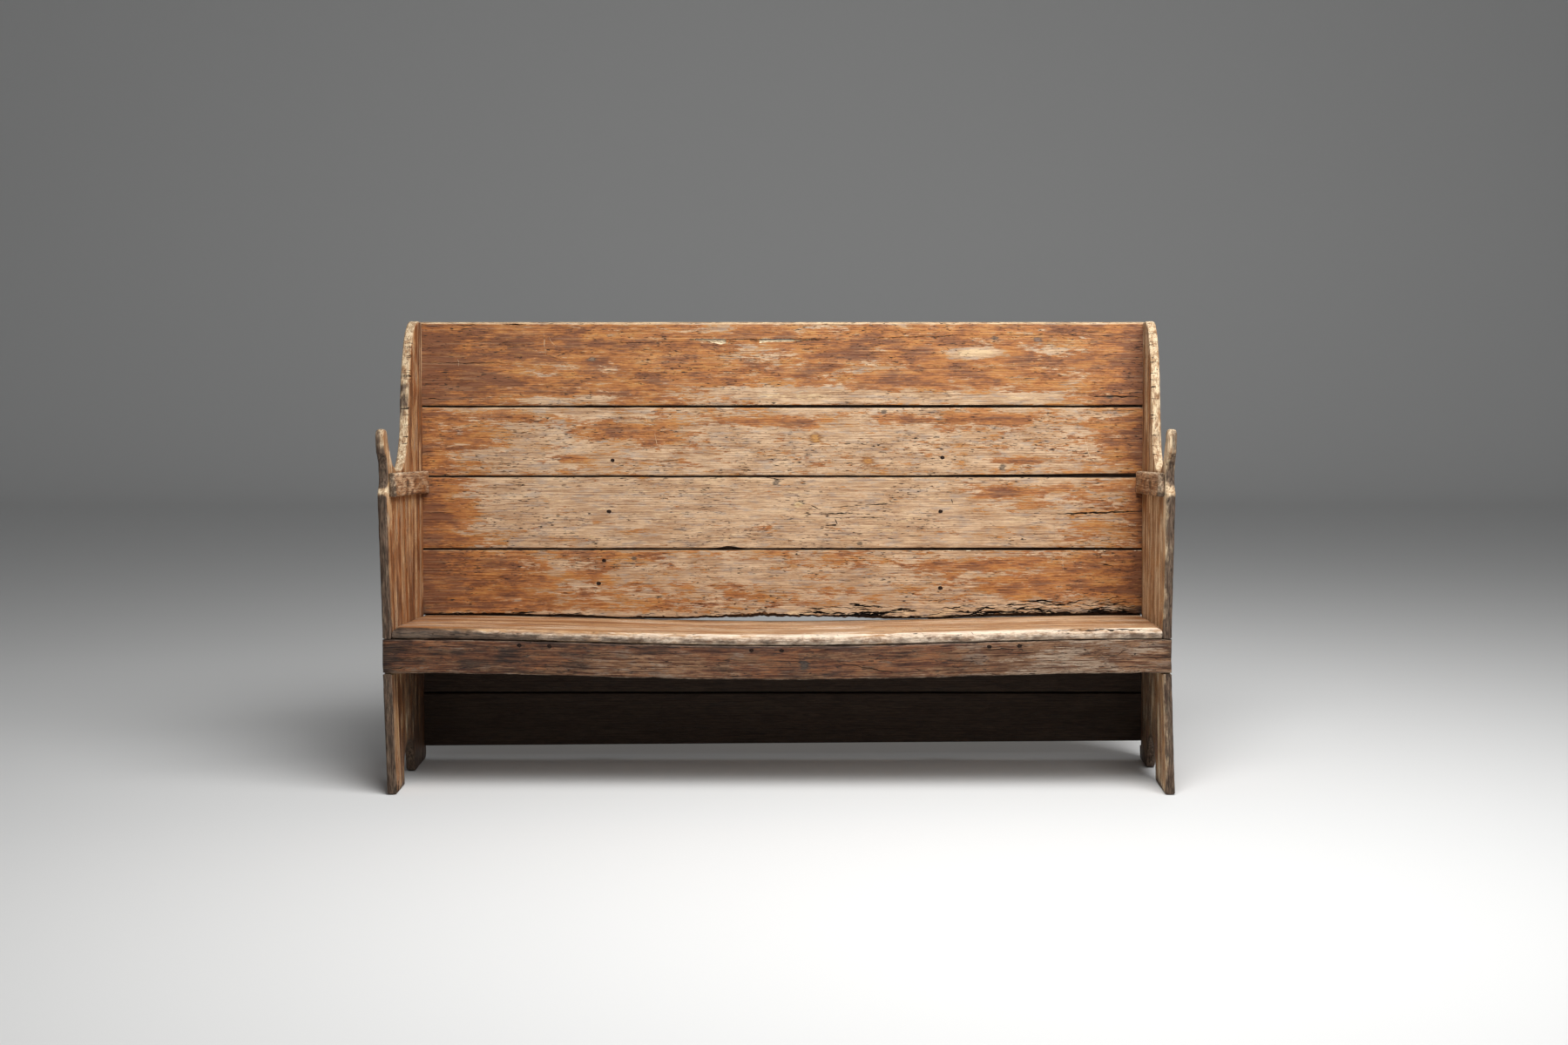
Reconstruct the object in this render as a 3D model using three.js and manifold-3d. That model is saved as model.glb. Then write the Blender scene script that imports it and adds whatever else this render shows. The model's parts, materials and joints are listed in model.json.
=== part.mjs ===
import * as THREE from 'three';
import { mergeVertices } from 'three/addons/utils/BufferGeometryUtils.js';
import { TessellateModifier } from 'three/addons/modifiers/TessellateModifier.js';
import Module from 'manifold-3d';

const wasm = await Module();
wasm.setup();

// An old monks bench: a plank settle nailed together from pine boards.
// Lengths are in millimetres. X runs along the bench, Y from front to back and Z up.
// The bench is drawn square and then leans back on its worn rear feet.

// Driving dimensions of the whole bench
const benchLength = 2000;
const endHeight = 1221;
const seatDepth = 413;
const seatTop = 425;
const seatSag = 17;
const rakeDegrees = 4.1;

// Plank thicknesses
const endThickness = 24;
const seatThickness = 27;
const apronThickness = 25;
const backThickness = 25;
const battenThickness = 22;
const bearerThickness = 25;
const railThickness = 18;

// Clearances between pieces, and how far a cutting shape runs past what it cuts
const jointGap = 0.3;
const shrinkageGap = 0.7;
const cutOverrun = 6;
const weldDistance = 0.0001;

// Places that several pieces share
const innerHalf = benchLength / 2 - endThickness;
const seatUnder = seatTop - seatThickness;
const backFace = seatDepth + backThickness;
const rake = THREE.MathUtils.degToRad(rakeDegrees);

// How each end board differs from the other: its front foot, and how far it has warped outward
const sides = {
  left: { direction: -1, frontFootDepth: 120, hornLean: 15, footLean: -10 },
  right: { direction: 1, frontFootDepth: 165, hornLean: 11, footLean: 10 },
};

// Directions in which shapes are drawn: first axis, second axis and the way they are extruded
const alongX = new THREE.Vector3(1, 0, 0);
const alongY = new THREE.Vector3(0, 1, 0);
const alongZ = new THREE.Vector3(0, 0, 1);
const towardFront = new THREE.Vector3(0, -1, 0);
const profileAcrossLength = new THREE.Matrix4().makeBasis(alongY, alongZ, alongX);
const profileFacingFront = new THREE.Matrix4().makeBasis(alongX, alongZ, towardFront);

// Solids and cuts
function solidFrom(geometry) {
  const bare = geometry.clone();
  bare.deleteAttribute('normal');
  bare.deleteAttribute('uv');
  const welded = mergeVertices(bare, weldDistance);
  return new wasm.Manifold(new wasm.Mesh({
    numProp: 3,
    vertProperties: Float32Array.from(welded.attributes.position.array),
    triVerts: Uint32Array.from(welded.index.array),
  }));
}

function geometryFrom(solid) {
  const mesh = solid.getMesh();
  const geometry = new THREE.BufferGeometry();
  geometry.setAttribute('position', new THREE.BufferAttribute(mesh.vertProperties, 3));
  geometry.setIndex(new THREE.BufferAttribute(mesh.triVerts, 1));
  return geometry;
}

function cut(geometry, cutters) {
  let solid = solidFrom(geometry);
  for (const cutter of cutters) {
    solid = solid.subtract(solidFrom(cutter));
  }
  return geometryFrom(solid);
}

function moveEachPoint(geometry, move) {
  const places = geometry.attributes.position;
  const point = new THREE.Vector3();
  for (let i = 0; i < places.count; i += 1) {
    point.fromBufferAttribute(places, i);
    move(point);
    places.setXYZ(i, point.x, point.y, point.z);
  }
  return geometry;
}

function box(low, high) {
  const size = high.clone().sub(low);
  const middle = high.clone().add(low).multiplyScalar(0.5);
  return new THREE.BoxGeometry(size.x, size.y, size.z).translate(middle.x, middle.y, middle.z);
}

// The seat and everything under it has settled in the middle, and stays level where it is housed
function sagAt(x) {
  const share = Math.min(Math.abs(x) / innerHalf, 1);
  return seatSag * (1 + Math.cos(Math.PI * share)) / 2;
}

function settle(geometry) {
  return moveEachPoint(geometry, (point) => {
    point.z -= sagAt(point.x);
  });
}

// Nails
// Wrought nails with a square tapering shank and a low square head, driven flush.
const nailShank = 4.2;
const nailTip = 1.6;
const nailHead = 9;
const nailHeadHeight = 2.2;
const nailHeadPeak = 0.8;
const squareSides = 4;
const nails = [];

// Turned in four steps, a profile at a square's half diagonal gives a square bar
function squareBar(profile) {
  const points = profile.map(([side, place]) => new THREE.Vector2(side * Math.SQRT1_2, place));
  return new THREE.LatheGeometry(points, squareSides, Math.PI / squareSides);
}

function nailGeometry(length) {
  const headUnder = -nailHeadHeight - nailHeadPeak;
  return squareBar([
    [0, -length],
    [nailTip, -length],
    [nailShank, headUnder],
    [nailHead, headUnder],
    [nailHead, -nailHeadPeak],
    [0, 0],
  ]);
}

function nailHoleGeometry(length) {
  const seat = -nailHeadHeight - nailHeadPeak - jointGap;
  const room = 2 * jointGap;
  return squareBar([
    [0, -length - jointGap],
    [nailTip + room, -length - jointGap],
    [nailShank + room, seat],
    [nailHead + room, seat],
    [nailHead + room, cutOverrun],
    [0, cutOverrun],
  ]);
}

// A nail is drawn pointing down its own axis, and turned to point the way it was driven
function driveNail(name, head, direction, length, joins) {
  const turn = new THREE.Quaternion().setFromUnitVectors(new THREE.Vector3(0, -1, 0), direction);
  nails.push({ name, head, turn, length, joins });
}

function nailHolesIn(piece) {
  return nails.filter((nail) => nail.joins.includes(piece)).map((nail) => {
    const hole = nailHoleGeometry(nail.length);
    hole.applyQuaternion(nail.turn);
    return hole.translate(nail.head.x, nail.head.y, nail.head.z);
  });
}

// Back boards
// Four boards above the seat and two below it, lying in a rebate along the back of each end board.
const rebateWidth = 12;
const boardHalf = innerHalf + rebateWidth - jointGap;
const boardTopShares = [0.226, 0.474, 0.712];
const lowerBoardTop = seatUnder - seatSag - jointGap;
const lowerSeam = 214;
const lowerEdgeLeft = 67;
const lowerEdgeRight = 81;

const upperHeight = endHeight - seatTop;
const upperSeams = boardTopShares.map((share) => seatTop + share * upperHeight);
const backBoards = [
  { name: 'back_board_4', low: seatTop + jointGap, high: upperSeams[0] - shrinkageGap / 2 },
  { name: 'back_board_3', low: upperSeams[0] + shrinkageGap / 2, high: upperSeams[1] - shrinkageGap / 2 },
  { name: 'back_board_2', low: upperSeams[1] + shrinkageGap / 2, high: upperSeams[2] - shrinkageGap / 2 },
  { name: 'back_board_1', low: upperSeams[2] + shrinkageGap / 2, high: endHeight },
];
const lowerBoards = [
  { name: 'lower_back_board_1', low: lowerSeam + shrinkageGap / 2, high: lowerBoardTop },
  {
    name: 'lower_back_board_2',
    low: lowerEdgeLeft,
    lowRight: lowerEdgeRight,
    high: lowerSeam - shrinkageGap / 2,
  },
];

// The lowest back board has sunk with the seat, and has rotted along its lower edge, most of all in the
// middle: place along the board, and depth of the rot
const rotDepth = 13;
const rotShares = [
  [0.06, 0.1], [0.13, 0.15], [0.21, 0.1], [0.29, 0.16], [0.36, 0.2], [0.4, 0.6], [0.45, 0.85],
  [0.5, 1], [0.55, 0.9], [0.6, 0.7], [0.64, 0.25], [0.72, 0.16], [0.8, 0.25], [0.87, 0.12], [0.94, 0.1],
];

// The top board has split along the grain in two places: place along the board, and how far it gapes
const splitGape = 13;
const splitBelowTop = 47;
const splitShares = [
  [[0.37, 0], [0.399, 0.4], [0.415, 1], [0.423, 0]],
  [[0.469, 0], [0.478, 0.5], [0.497, 0.55], [0.515, 0]],
];

function boardOutline({ low, high, lowRight = low }, rotted) {
  const outline = new THREE.Shape();
  outline.moveTo(-boardHalf, high);
  outline.lineTo(-boardHalf, low);
  if (rotted) {
    for (const [place, depth] of rotShares) {
      const x = boardHalf * (2 * place - 1);
      outline.lineTo(x, low - sagAt(x) + rotDepth * depth);
    }
  }
  outline.lineTo(boardHalf, lowRight);
  outline.lineTo(boardHalf, high);
  return outline;
}

function splitCutter(shares) {
  const upperLip = endHeight - splitBelowTop;
  const points = shares.map(([place, gape]) => (
    new THREE.Vector2(boardHalf * (2 * place - 1), upperLip - splitGape * gape)
  ));
  const split = new THREE.ExtrudeGeometry(new THREE.Shape(points), {
    depth: backThickness + 2 * cutOverrun,
    bevelEnabled: false,
  });
  return split.applyMatrix4(profileFacingFront).translate(0, backFace + cutOverrun, 0);
}

function backBoard(board) {
  const outline = boardOutline(board, board.name === 'back_board_4');
  const splits = board.name === 'back_board_1' ? splitShares.map(splitCutter) : [];
  const plank = new THREE.ExtrudeGeometry(outline, { depth: backThickness, bevelEnabled: false });
  plank.applyMatrix4(profileFacingFront).translate(0, backFace, 0);
  return cut(plank, [...splits, ...nailHolesIn(board.name)]);
}

// Battens
// Two uprights behind the back hold the boards flat.
const battenWidth = 70;
const battenTopInset = 30;
const battenFootInset = 14;
const battens = [
  { name: 'left_batten', placeShare: -0.24 },
  { name: 'right_batten', placeShare: 0.2155 },
].map(({ name, placeShare }) => ({ name, x: placeShare * benchLength }));
const battenLow = lowerEdgeRight + battenFootInset;
const battenHigh = endHeight - battenTopInset;
const battenFace = backFace + jointGap;

function batten({ name, x }) {
  const low = new THREE.Vector3(x - battenWidth / 2, battenFace, battenLow);
  const high = new THREE.Vector3(x + battenWidth / 2, battenFace + battenThickness, battenHigh);
  return cut(box(low, high), nailHolesIn(name));
}

// Seat
// One wide plank, worn round along the front, that runs under the lowest back board.
const seatNose = 12;
const settledSteps = 25;

function seatPlank() {
  const section = new THREE.Shape();
  section.moveTo(0, seatUnder);
  section.lineTo(backFace, seatUnder);
  section.lineTo(backFace, seatTop);
  section.lineTo(seatNose, seatTop);
  section.absarc(seatNose, seatTop - seatNose, seatNose, Math.PI / 2, Math.PI, false);
  const length = 2 * (innerHalf - jointGap);
  const plank = new THREE.ExtrudeGeometry(section, {
    depth: length,
    steps: settledSteps,
    curveSegments: 5,
    bevelEnabled: false,
  });
  plank.applyMatrix4(profileAcrossLength).translate(-length / 2, 0, 0);
  return settle(plank);
}

// Apron
// A narrow board under the front edge of the seat, let into the front edges of the end boards.
const apronHeight = 88;
const apronTop = seatUnder - jointGap;
const apronLow = apronTop - apronHeight;

function frontApron() {
  const section = new THREE.Shape();
  section.moveTo(0, apronLow);
  section.lineTo(apronThickness, apronLow);
  section.lineTo(apronThickness, apronTop);
  section.lineTo(0, apronTop);
  const plank = new THREE.ExtrudeGeometry(section, {
    depth: benchLength,
    steps: settledSteps,
    bevelEnabled: false,
  });
  plank.applyMatrix4(profileAcrossLength).translate(-benchLength / 2, 0, 0);
  return cut(settle(plank), nailHolesIn('front_apron'));
}

// Seat bearers
// Flat cross pieces under the seat, nailed through the apron.
const bearerWidth = 110;
const bearerSteps = 4;
const bearers = [
  { name: 'seat_bearer_left', placeShare: -0.3075 },
  { name: 'seat_bearer_middle', placeShare: -0.0135 },
  { name: 'seat_bearer_right', placeShare: 0.2875 },
].map(({ name, placeShare }) => ({ name, x: placeShare * benchLength }));

function seatBearer({ name, x }) {
  const section = new THREE.Shape();
  section.moveTo(apronThickness + jointGap, apronTop - bearerThickness);
  section.lineTo(seatDepth - jointGap, apronTop - bearerThickness);
  section.lineTo(seatDepth - jointGap, apronTop);
  section.lineTo(apronThickness + jointGap, apronTop);
  const plank = new THREE.ExtrudeGeometry(section, {
    depth: bearerWidth,
    steps: bearerSteps,
    bevelEnabled: false,
  });
  plank.applyMatrix4(profileAcrossLength).translate(x - bearerWidth / 2, 0, 0);
  return cut(settle(plank), nailHolesIn(name));
}

// Seat cleats
// A square batten on the inner face of each end board carries the end of the seat.
const cleatSize = 30;
const cleatInset = 38;

function seatCleat(name, side) {
  const wall = side.direction * (innerHalf - jointGap);
  const edge = wall - side.direction * cleatSize;
  const low = new THREE.Vector3(Math.min(wall, edge), cleatInset, apronTop - cleatSize);
  const high = new THREE.Vector3(Math.max(wall, edge), seatDepth - cleatInset, apronTop);
  return cut(box(low, high), nailHolesIn(name));
}

// Arm rails
// A rounded batten on the inner face of each end board, level with the arm notch.
const railTop = 818;
const railHeight = 61;
const railSetback = 30;
const railRound = 9;

function railOutline(side) {
  const wall = innerHalf - jointGap;
  const face = wall - railThickness;
  const outline = new THREE.Shape();
  outline.moveTo(side.direction * wall, railTop - railHeight);
  outline.lineTo(side.direction * wall, railTop);
  outline.lineTo(side.direction * (face + railRound), railTop);
  outline.quadraticCurveTo(side.direction * face, railTop, side.direction * face, railTop - railRound);
  outline.lineTo(side.direction * face, railTop - railHeight);
  return outline;
}

function armRail(name, side) {
  const length = seatDepth - railSetback - jointGap;
  const rail = new THREE.ExtrudeGeometry(railOutline(side), {
    depth: length,
    curveSegments: 4,
    bevelEnabled: false,
  });
  rail.applyMatrix4(profileFacingFront).translate(0, railSetback + length, 0);
  return cut(warp(rail, side), nailHolesIn(name));
}

// End boards
// Each is one plank on end. Its outline has a foot in front, an arch, a foot behind, a neck and horn in
// front of the arm notch, and a wing that sweeps up to the top of the back.
const archWidth = 143;
const archHeight = 96;
const frontFootRound = 9;
const backFootRound = 24;
const neckDepth = 24;
const neckRise = 50;
const neckDrop = 51;
const neckMiddleDrop = 10;
const hornRadius = 21;
const hornRise = 105;
const hornBase = 118;
const notchRise = 6;
const notchLength = 55;
const wingDepth = 151;
const crownDepth = 30;

const waistShare = 0.405;
const hornSweepShares = [[0.5, 0.05], [0.92, 0.73]];
const notchSweepShares = [[0.73, 0.16], [0.89, 0.565]];
const crownSweepShares = [[0.15, 0.53], [0.46, 1]];

const notchHeight = railTop + notchRise;
const hornTop = notchHeight + hornRise;
const waistHeight = notchHeight + waistShare * (endHeight - notchHeight);

function floorAt(depth) {
  return depth * Math.tan(rake);
}

// A sweep from one point to the next, bent by two shares of the way across and up
function sweep(outline, from, to, [first, second]) {
  const across = (share) => from.x + share * (to.x - from.x);
  const up = (share) => from.y + share * (to.y - from.y);
  outline.bezierCurveTo(
    across(first[0]), up(first[1]), across(second[0]), up(second[1]), to.x, to.y,
  );
}

function drawFeet(outline, side) {
  const archStart = side.frontFootDepth;
  const archEnd = archStart + archWidth;
  const archMiddle = archStart + archWidth / 2;
  const spring = floorAt(archMiddle) + archHeight - archWidth / 2;
  outline.moveTo(0, frontFootRound);
  outline.quadraticCurveTo(0, floorAt(0), frontFootRound, floorAt(frontFootRound));
  outline.lineTo(archStart - frontFootRound, floorAt(archStart - frontFootRound));
  outline.quadraticCurveTo(archStart, floorAt(archStart), archStart, floorAt(archStart) + frontFootRound);
  outline.lineTo(archStart, spring);
  outline.absarc(archMiddle, spring, archWidth / 2, Math.PI, 0, true);
  outline.lineTo(archEnd, floorAt(archEnd) + backFootRound);
  outline.quadraticCurveTo(
    archEnd, floorAt(archEnd), archEnd + backFootRound, floorAt(archEnd + backFootRound),
  );
  outline.lineTo(backFace - backFootRound, floorAt(backFace - backFootRound));
  outline.quadraticCurveTo(backFace, floorAt(backFace), backFace, floorAt(backFace) + backFootRound);
}

function drawWing(outline) {
  const crown = new THREE.Vector2(seatDepth - crownDepth, endHeight);
  const waist = new THREE.Vector2(seatDepth - wingDepth, waistHeight);
  const notchBack = new THREE.Vector2(hornBase + notchLength, notchHeight);
  const mirrored = (shares) => shares.map(([across, up]) => [1 - across, 1 - up]).reverse();
  outline.lineTo(backFace, endHeight);
  outline.lineTo(crown.x, crown.y);
  sweep(outline, crown, waist, mirrored(crownSweepShares));
  sweep(outline, waist, notchBack, mirrored(notchSweepShares));
}

function drawHorn(outline) {
  const notchFront = new THREE.Vector2(hornBase, notchHeight);
  const hornBack = new THREE.Vector2(2 * hornRadius, hornTop - hornRadius);
  outline.lineTo(notchFront.x, notchFront.y);
  sweep(outline, notchFront, hornBack, hornSweepShares);
  outline.absarc(hornRadius, hornTop - hornRadius, hornRadius, 0, Math.PI, false);
}

function drawFrontEdge(outline) {
  const middle = railTop - neckMiddleDrop;
  const housingTop = apronTop + jointGap;
  const housingLow = apronLow - jointGap;
  outline.lineTo(0, railTop + neckRise);
  outline.quadraticCurveTo(neckDepth, railTop + neckRise / 2, neckDepth, middle);
  outline.quadraticCurveTo(neckDepth, (middle + railTop - neckDrop) / 2, 0, railTop - neckDrop);
  outline.lineTo(0, housingTop);
  outline.lineTo(apronThickness + jointGap, housingTop);
  outline.lineTo(apronThickness + jointGap, housingLow);
  outline.lineTo(0, housingLow);
}

// Warping
// The end boards have twisted: in front they lean out above the seat and spread or close at the feet,
// and behind they are held straight by the back boards.
const warpFacet = 110;
const warpRounds = 24;

function leanAt(side, depth, height) {
  const free = Math.max(0, 1 - depth / seatDepth);
  const above = Math.max(0, height - seatTop) / (hornTop - seatTop);
  const below = Math.max(0, apronLow - height) / apronLow;
  return free * (side.hornLean * above + side.footLean * below);
}

function warp(geometry, side) {
  const bare = geometry.clone();
  bare.deleteAttribute('normal');
  bare.deleteAttribute('uv');
  const facets = new TessellateModifier(warpFacet, warpRounds).modify(bare);
  return moveEachPoint(mergeVertices(facets, weldDistance), (point) => {
    point.x += side.direction * leanAt(side, point.y, point.z);
  });
}

function endBoard(name, side) {
  const outline = new THREE.Shape();
  drawFeet(outline, side);
  drawWing(outline);
  drawHorn(outline);
  drawFrontEdge(outline);
  const plank = new THREE.ExtrudeGeometry(outline, {
    depth: endThickness,
    curveSegments: 8,
    bevelEnabled: false,
  });
  const inner = side.direction * innerHalf;
  const outer = side.direction * benchLength / 2;
  plank.applyMatrix4(profileAcrossLength).translate(Math.min(inner, outer), 0, 0);
  const reach = side.direction * (innerHalf + rebateWidth);
  const past = side.direction * (innerHalf - cutOverrun);
  const rebate = box(
    new THREE.Vector3(Math.min(reach, past), seatDepth - jointGap, lowerEdgeLeft - jointGap),
    new THREE.Vector3(Math.max(reach, past), backFace + cutOverrun, endHeight + cutOverrun),
  );
  return cut(warp(cut(plank, [rebate]), side), nailHolesIn(name));
}

// Nailing
// Every nail joins the plank under its head to the one behind it.
const apronNailBite = 34;
const bearerNailOffset = 38;
const apronEndNailShares = [0.27, 0.77];
const battenNailBite = 15;
const rebateNailBite = 36;
const railNailBite = 14;
const cleatNailBite = 14;
const railNailShares = [0.23, 0.787];
const boardMiddleShare = 0.5;

// Nails that show in the back: the board, the batten, how far from the batten's middle as a share of its
// width, and the share of the board's height
const faceNails = [
  { board: 'back_board_2', batten: 'left_batten', offsetShare: 0.271, heightShare: 0.23 },
  { board: 'back_board_3', batten: 'left_batten', offsetShare: 0.129, heightShare: 0.52 },
  { board: 'back_board_4', batten: 'left_batten', offsetShare: -0.071, heightShare: 0.83 },
  { board: 'back_board_4', batten: 'left_batten', offsetShare: -0.286, heightShare: 0.48 },
  { board: 'back_board_2', batten: 'right_batten', offsetShare: 0.043, heightShare: 0.27 },
  { board: 'back_board_3', batten: 'right_batten', offsetShare: -0.029, heightShare: 0.52 },
  { board: 'back_board_4', batten: 'right_batten', offsetShare: -0.029, heightShare: 0.41 },
];

function heightIn(board, share) {
  return board.low + share * (board.high - board.low);
}

function nailBackBoards() {
  faceNails.forEach((nail, index) => {
    const board = backBoards.find(({ name }) => name === nail.board);
    const middle = battens.find(({ name }) => name === nail.batten).x;
    const x = middle + nail.offsetShare * battenWidth;
    const head = new THREE.Vector3(x, seatDepth, heightIn(board, nail.heightShare));
    const length = backThickness + battenNailBite;
    driveNail(`face_nail_${index + 1}`, head, alongY, length, [nail.board, nail.batten]);
  });
  const fromBehind = [backBoards[3], ...lowerBoards];
  for (const { name, x } of battens) {
    fromBehind.forEach((board, index) => {
      const head = new THREE.Vector3(x, battenFace + battenThickness, heightIn(board, boardMiddleShare));
      const length = battenThickness + battenNailBite;
      driveNail(`${name}_nail_${index + 1}`, head, towardFront, length, [name, board.name]);
    });
  }
}

function nailBoardEnds() {
  for (const [sideName, side] of Object.entries(sides)) {
    for (const board of [...backBoards, ...lowerBoards]) {
      const x = side.direction * (innerHalf + rebateWidth / 2);
      const head = new THREE.Vector3(x, backFace, heightIn(board, boardMiddleShare));
      const length = backThickness + rebateNailBite;
      const joins = [board.name, `${sideName}_end_board`];
      driveNail(`${board.name}_${sideName}_nail`, head, towardFront, length, joins);
    }
  }
}

function nailApron() {
  for (const { name, x } of bearers) {
    [-bearerNailOffset, bearerNailOffset].forEach((offset, index) => {
      const z = apronTop - bearerThickness / 2 - sagAt(x + offset);
      const head = new THREE.Vector3(x + offset, 0, z);
      const length = apronThickness + apronNailBite;
      driveNail(`${name}_nail_${index + 1}`, head, alongY, length, ['front_apron', name]);
    });
  }
  for (const [sideName, side] of Object.entries(sides)) {
    apronEndNailShares.forEach((share, index) => {
      const x = side.direction * (innerHalf + endThickness / 2);
      const head = new THREE.Vector3(x, 0, apronLow + share * apronHeight);
      const length = apronThickness + apronNailBite;
      const joins = ['front_apron', `${sideName}_end_board`];
      driveNail(`apron_${sideName}_nail_${index + 1}`, head, alongY, length, joins);
    });
  }
}

function nailRailsAndCleats() {
  for (const [sideName, side] of Object.entries(sides)) {
    const outward = alongX.clone().multiplyScalar(side.direction);
    const endBoardName = `${sideName}_end_board`;
    const railFace = innerHalf - jointGap - railThickness;
    railNailShares.forEach((share, index) => {
      const depth = share * seatDepth;
      const height = railTop - railHeight / 2;
      const x = side.direction * (railFace + leanAt(side, depth, height));
      const head = new THREE.Vector3(x, depth, height);
      const joins = [`${sideName}_arm_rail`, endBoardName];
      const length = railThickness + railNailBite;
      driveNail(`${sideName}_rail_nail_${index + 1}`, head, outward, length, joins);
    });
    const cleatFace = innerHalf - jointGap - cleatSize;
    const head = new THREE.Vector3(side.direction * cleatFace, seatDepth / 2, apronTop - cleatSize / 2);
    const joins = [`${sideName}_seat_cleat`, endBoardName];
    driveNail(`${sideName}_cleat_nail`, head, outward, cleatSize + cleatNailBite, joins);
  }
}

// Finishes
const finishes = {
  endBoard: { color: 0x9c6840, roughness: 0.72, metalness: 0 },
  seat: { color: 0xb98a60, roughness: 0.68, metalness: 0 },
  apron: { color: 0x6d4f3a, roughness: 0.78, metalness: 0 },
  rail: { color: 0x8a5c3a, roughness: 0.7, metalness: 0 },
  backBoard: { color: 0xa8764c, roughness: 0.66, metalness: 0 },
  hiddenBoard: { color: 0x4d3528, roughness: 0.85, metalness: 0 },
  batten: { color: 0x7d6148, roughness: 0.85, metalness: 0 },
  nail: { color: 0x2e2724, roughness: 0.6, metalness: 0.7 },
};

const bench = new THREE.Group();

function add(name, geometry, finish) {
  geometry.computeVertexNormals();
  const mesh = new THREE.Mesh(geometry, new THREE.MeshStandardMaterial(finish));
  mesh.name = name;
  bench.add(mesh);
  return mesh;
}

nailBackBoards();
nailBoardEnds();
nailApron();
nailRailsAndCleats();

for (const [sideName, side] of Object.entries(sides)) {
  add(`${sideName}_end_board`, endBoard(`${sideName}_end_board`, side), finishes.endBoard);
  add(`${sideName}_arm_rail`, armRail(`${sideName}_arm_rail`, side), finishes.rail);
  add(`${sideName}_seat_cleat`, seatCleat(`${sideName}_seat_cleat`, side), finishes.batten);
}
add('seat_plank', seatPlank(), finishes.seat);
add('front_apron', frontApron(), finishes.apron);
bearers.forEach((bearer) => add(bearer.name, seatBearer(bearer), finishes.batten));
backBoards.forEach((board) => add(board.name, backBoard(board), finishes.backBoard));
lowerBoards.forEach((board) => add(board.name, backBoard(board), finishes.hiddenBoard));
battens.forEach((upright) => add(upright.name, batten(upright), finishes.batten));

for (const nail of nails) {
  const mesh = add(nail.name, nailGeometry(nail.length), finishes.nail);
  mesh.quaternion.copy(nail.turn);
  mesh.position.copy(nail.head);
}

// The bench leans back by its rake and stands on the floor, centred over the origin
const monksBench = new THREE.Group();
bench.rotation.x = -rake;
monksBench.add(bench);
monksBench.updateMatrixWorld(true);
const extent = new THREE.Box3().setFromObject(monksBench, true);
const middle = extent.getCenter(new THREE.Vector3());
monksBench.position.set(-middle.x, -middle.y, -extent.min.z);

export default monksBench;
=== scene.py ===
import json
import math
import random

import bmesh
import bpy
import numpy as np
from mathutils import Matrix, Vector, noise


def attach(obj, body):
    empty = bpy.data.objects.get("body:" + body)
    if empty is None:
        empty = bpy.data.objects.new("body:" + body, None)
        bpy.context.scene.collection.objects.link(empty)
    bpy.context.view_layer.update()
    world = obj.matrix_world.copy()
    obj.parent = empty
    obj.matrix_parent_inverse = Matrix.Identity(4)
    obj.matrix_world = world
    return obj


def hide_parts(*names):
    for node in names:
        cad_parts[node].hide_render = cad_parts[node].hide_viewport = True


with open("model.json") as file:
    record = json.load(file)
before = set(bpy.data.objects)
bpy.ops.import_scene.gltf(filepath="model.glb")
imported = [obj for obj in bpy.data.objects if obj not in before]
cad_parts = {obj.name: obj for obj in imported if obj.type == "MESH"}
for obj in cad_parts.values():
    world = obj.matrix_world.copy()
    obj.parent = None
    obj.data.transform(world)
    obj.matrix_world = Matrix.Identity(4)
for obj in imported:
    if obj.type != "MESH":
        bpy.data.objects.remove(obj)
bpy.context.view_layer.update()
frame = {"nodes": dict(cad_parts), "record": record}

# End boards
# Each end of the bench is one wide pine plank stood on end and sawn to shape: two feet with an arch
# between them, a horn in front of the arm notch, and a wing that sweeps up to the top of the back.
# Old varnish is left on their faces, and the sawn edges are worn pale above and dark in front.

# The bench is drawn square and in millimetres: X along it, Y from front to back and Z up. It stands
# leaning back on its worn rear feet, by the slope of the seat's face in the frame.
MM = 0.001
seat_face = next(m for m in frame["record"]["mounts"] if m["name"] == "seat_surface")
rake = math.atan2(seat_face["axis"][1], seat_face["axis"][2])
upright = Matrix.Rotation(rake, 4, "X") @ Matrix.Scale(1 / MM, 4)


def corners(points):
    points = np.array([tuple(p) for p in points])
    return Vector(points.min(0)), Vector(points.max(0))


def cad_points(node):
    return [upright @ v.co for v in frame["nodes"][node].data.vertices]


apron_low, apron_high = corners(cad_points("front_apron"))
bench_middle = (apron_low.x + apron_high.x) / 2
bench_origin = Vector((bench_middle, apron_low.y, apron_low.y * math.tan(rake)))
to_row = (Matrix.Translation(-bench_origin) @ upright).inverted()


def squared(node):
    """The points of a CAD piece, with the bench stood up square."""
    return [point - bench_origin for point in cad_points(node)]


def squared_box(node):
    return corners(squared(node))


def rectangle(low, high, first, second):
    """The outline of a box, seen with one of its axes along the plank and the other across it."""
    lower = [(low[first], low[second]), (high[first], low[second])]
    return lower + [(high[first], high[second]), (low[first], high[second])]


board_low, board_high = squared_box("back_board_1")
rail_low, rail_high = squared_box("left_arm_rail")
apron_high = squared_box("front_apron")[1]
seat_low, seat_high = squared_box("seat_plank")
joint_gap = 0.3
end_thickness = 24
apron_height = 88
end_height = board_high.z
back_depth = board_low.y
back_face = board_high.y
bench_half = apron_high.x
inner_half = bench_half - end_thickness
apron_top = squared_box("left_seat_cleat")[1].z
apron_bottom = apron_top - apron_height
seat_top = seat_high.z


def floor_at(depth):
    """The floor's height under the squared bench. It rises to the back, where the feet are worn shorter."""
    return depth * math.tan(rake)


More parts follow.
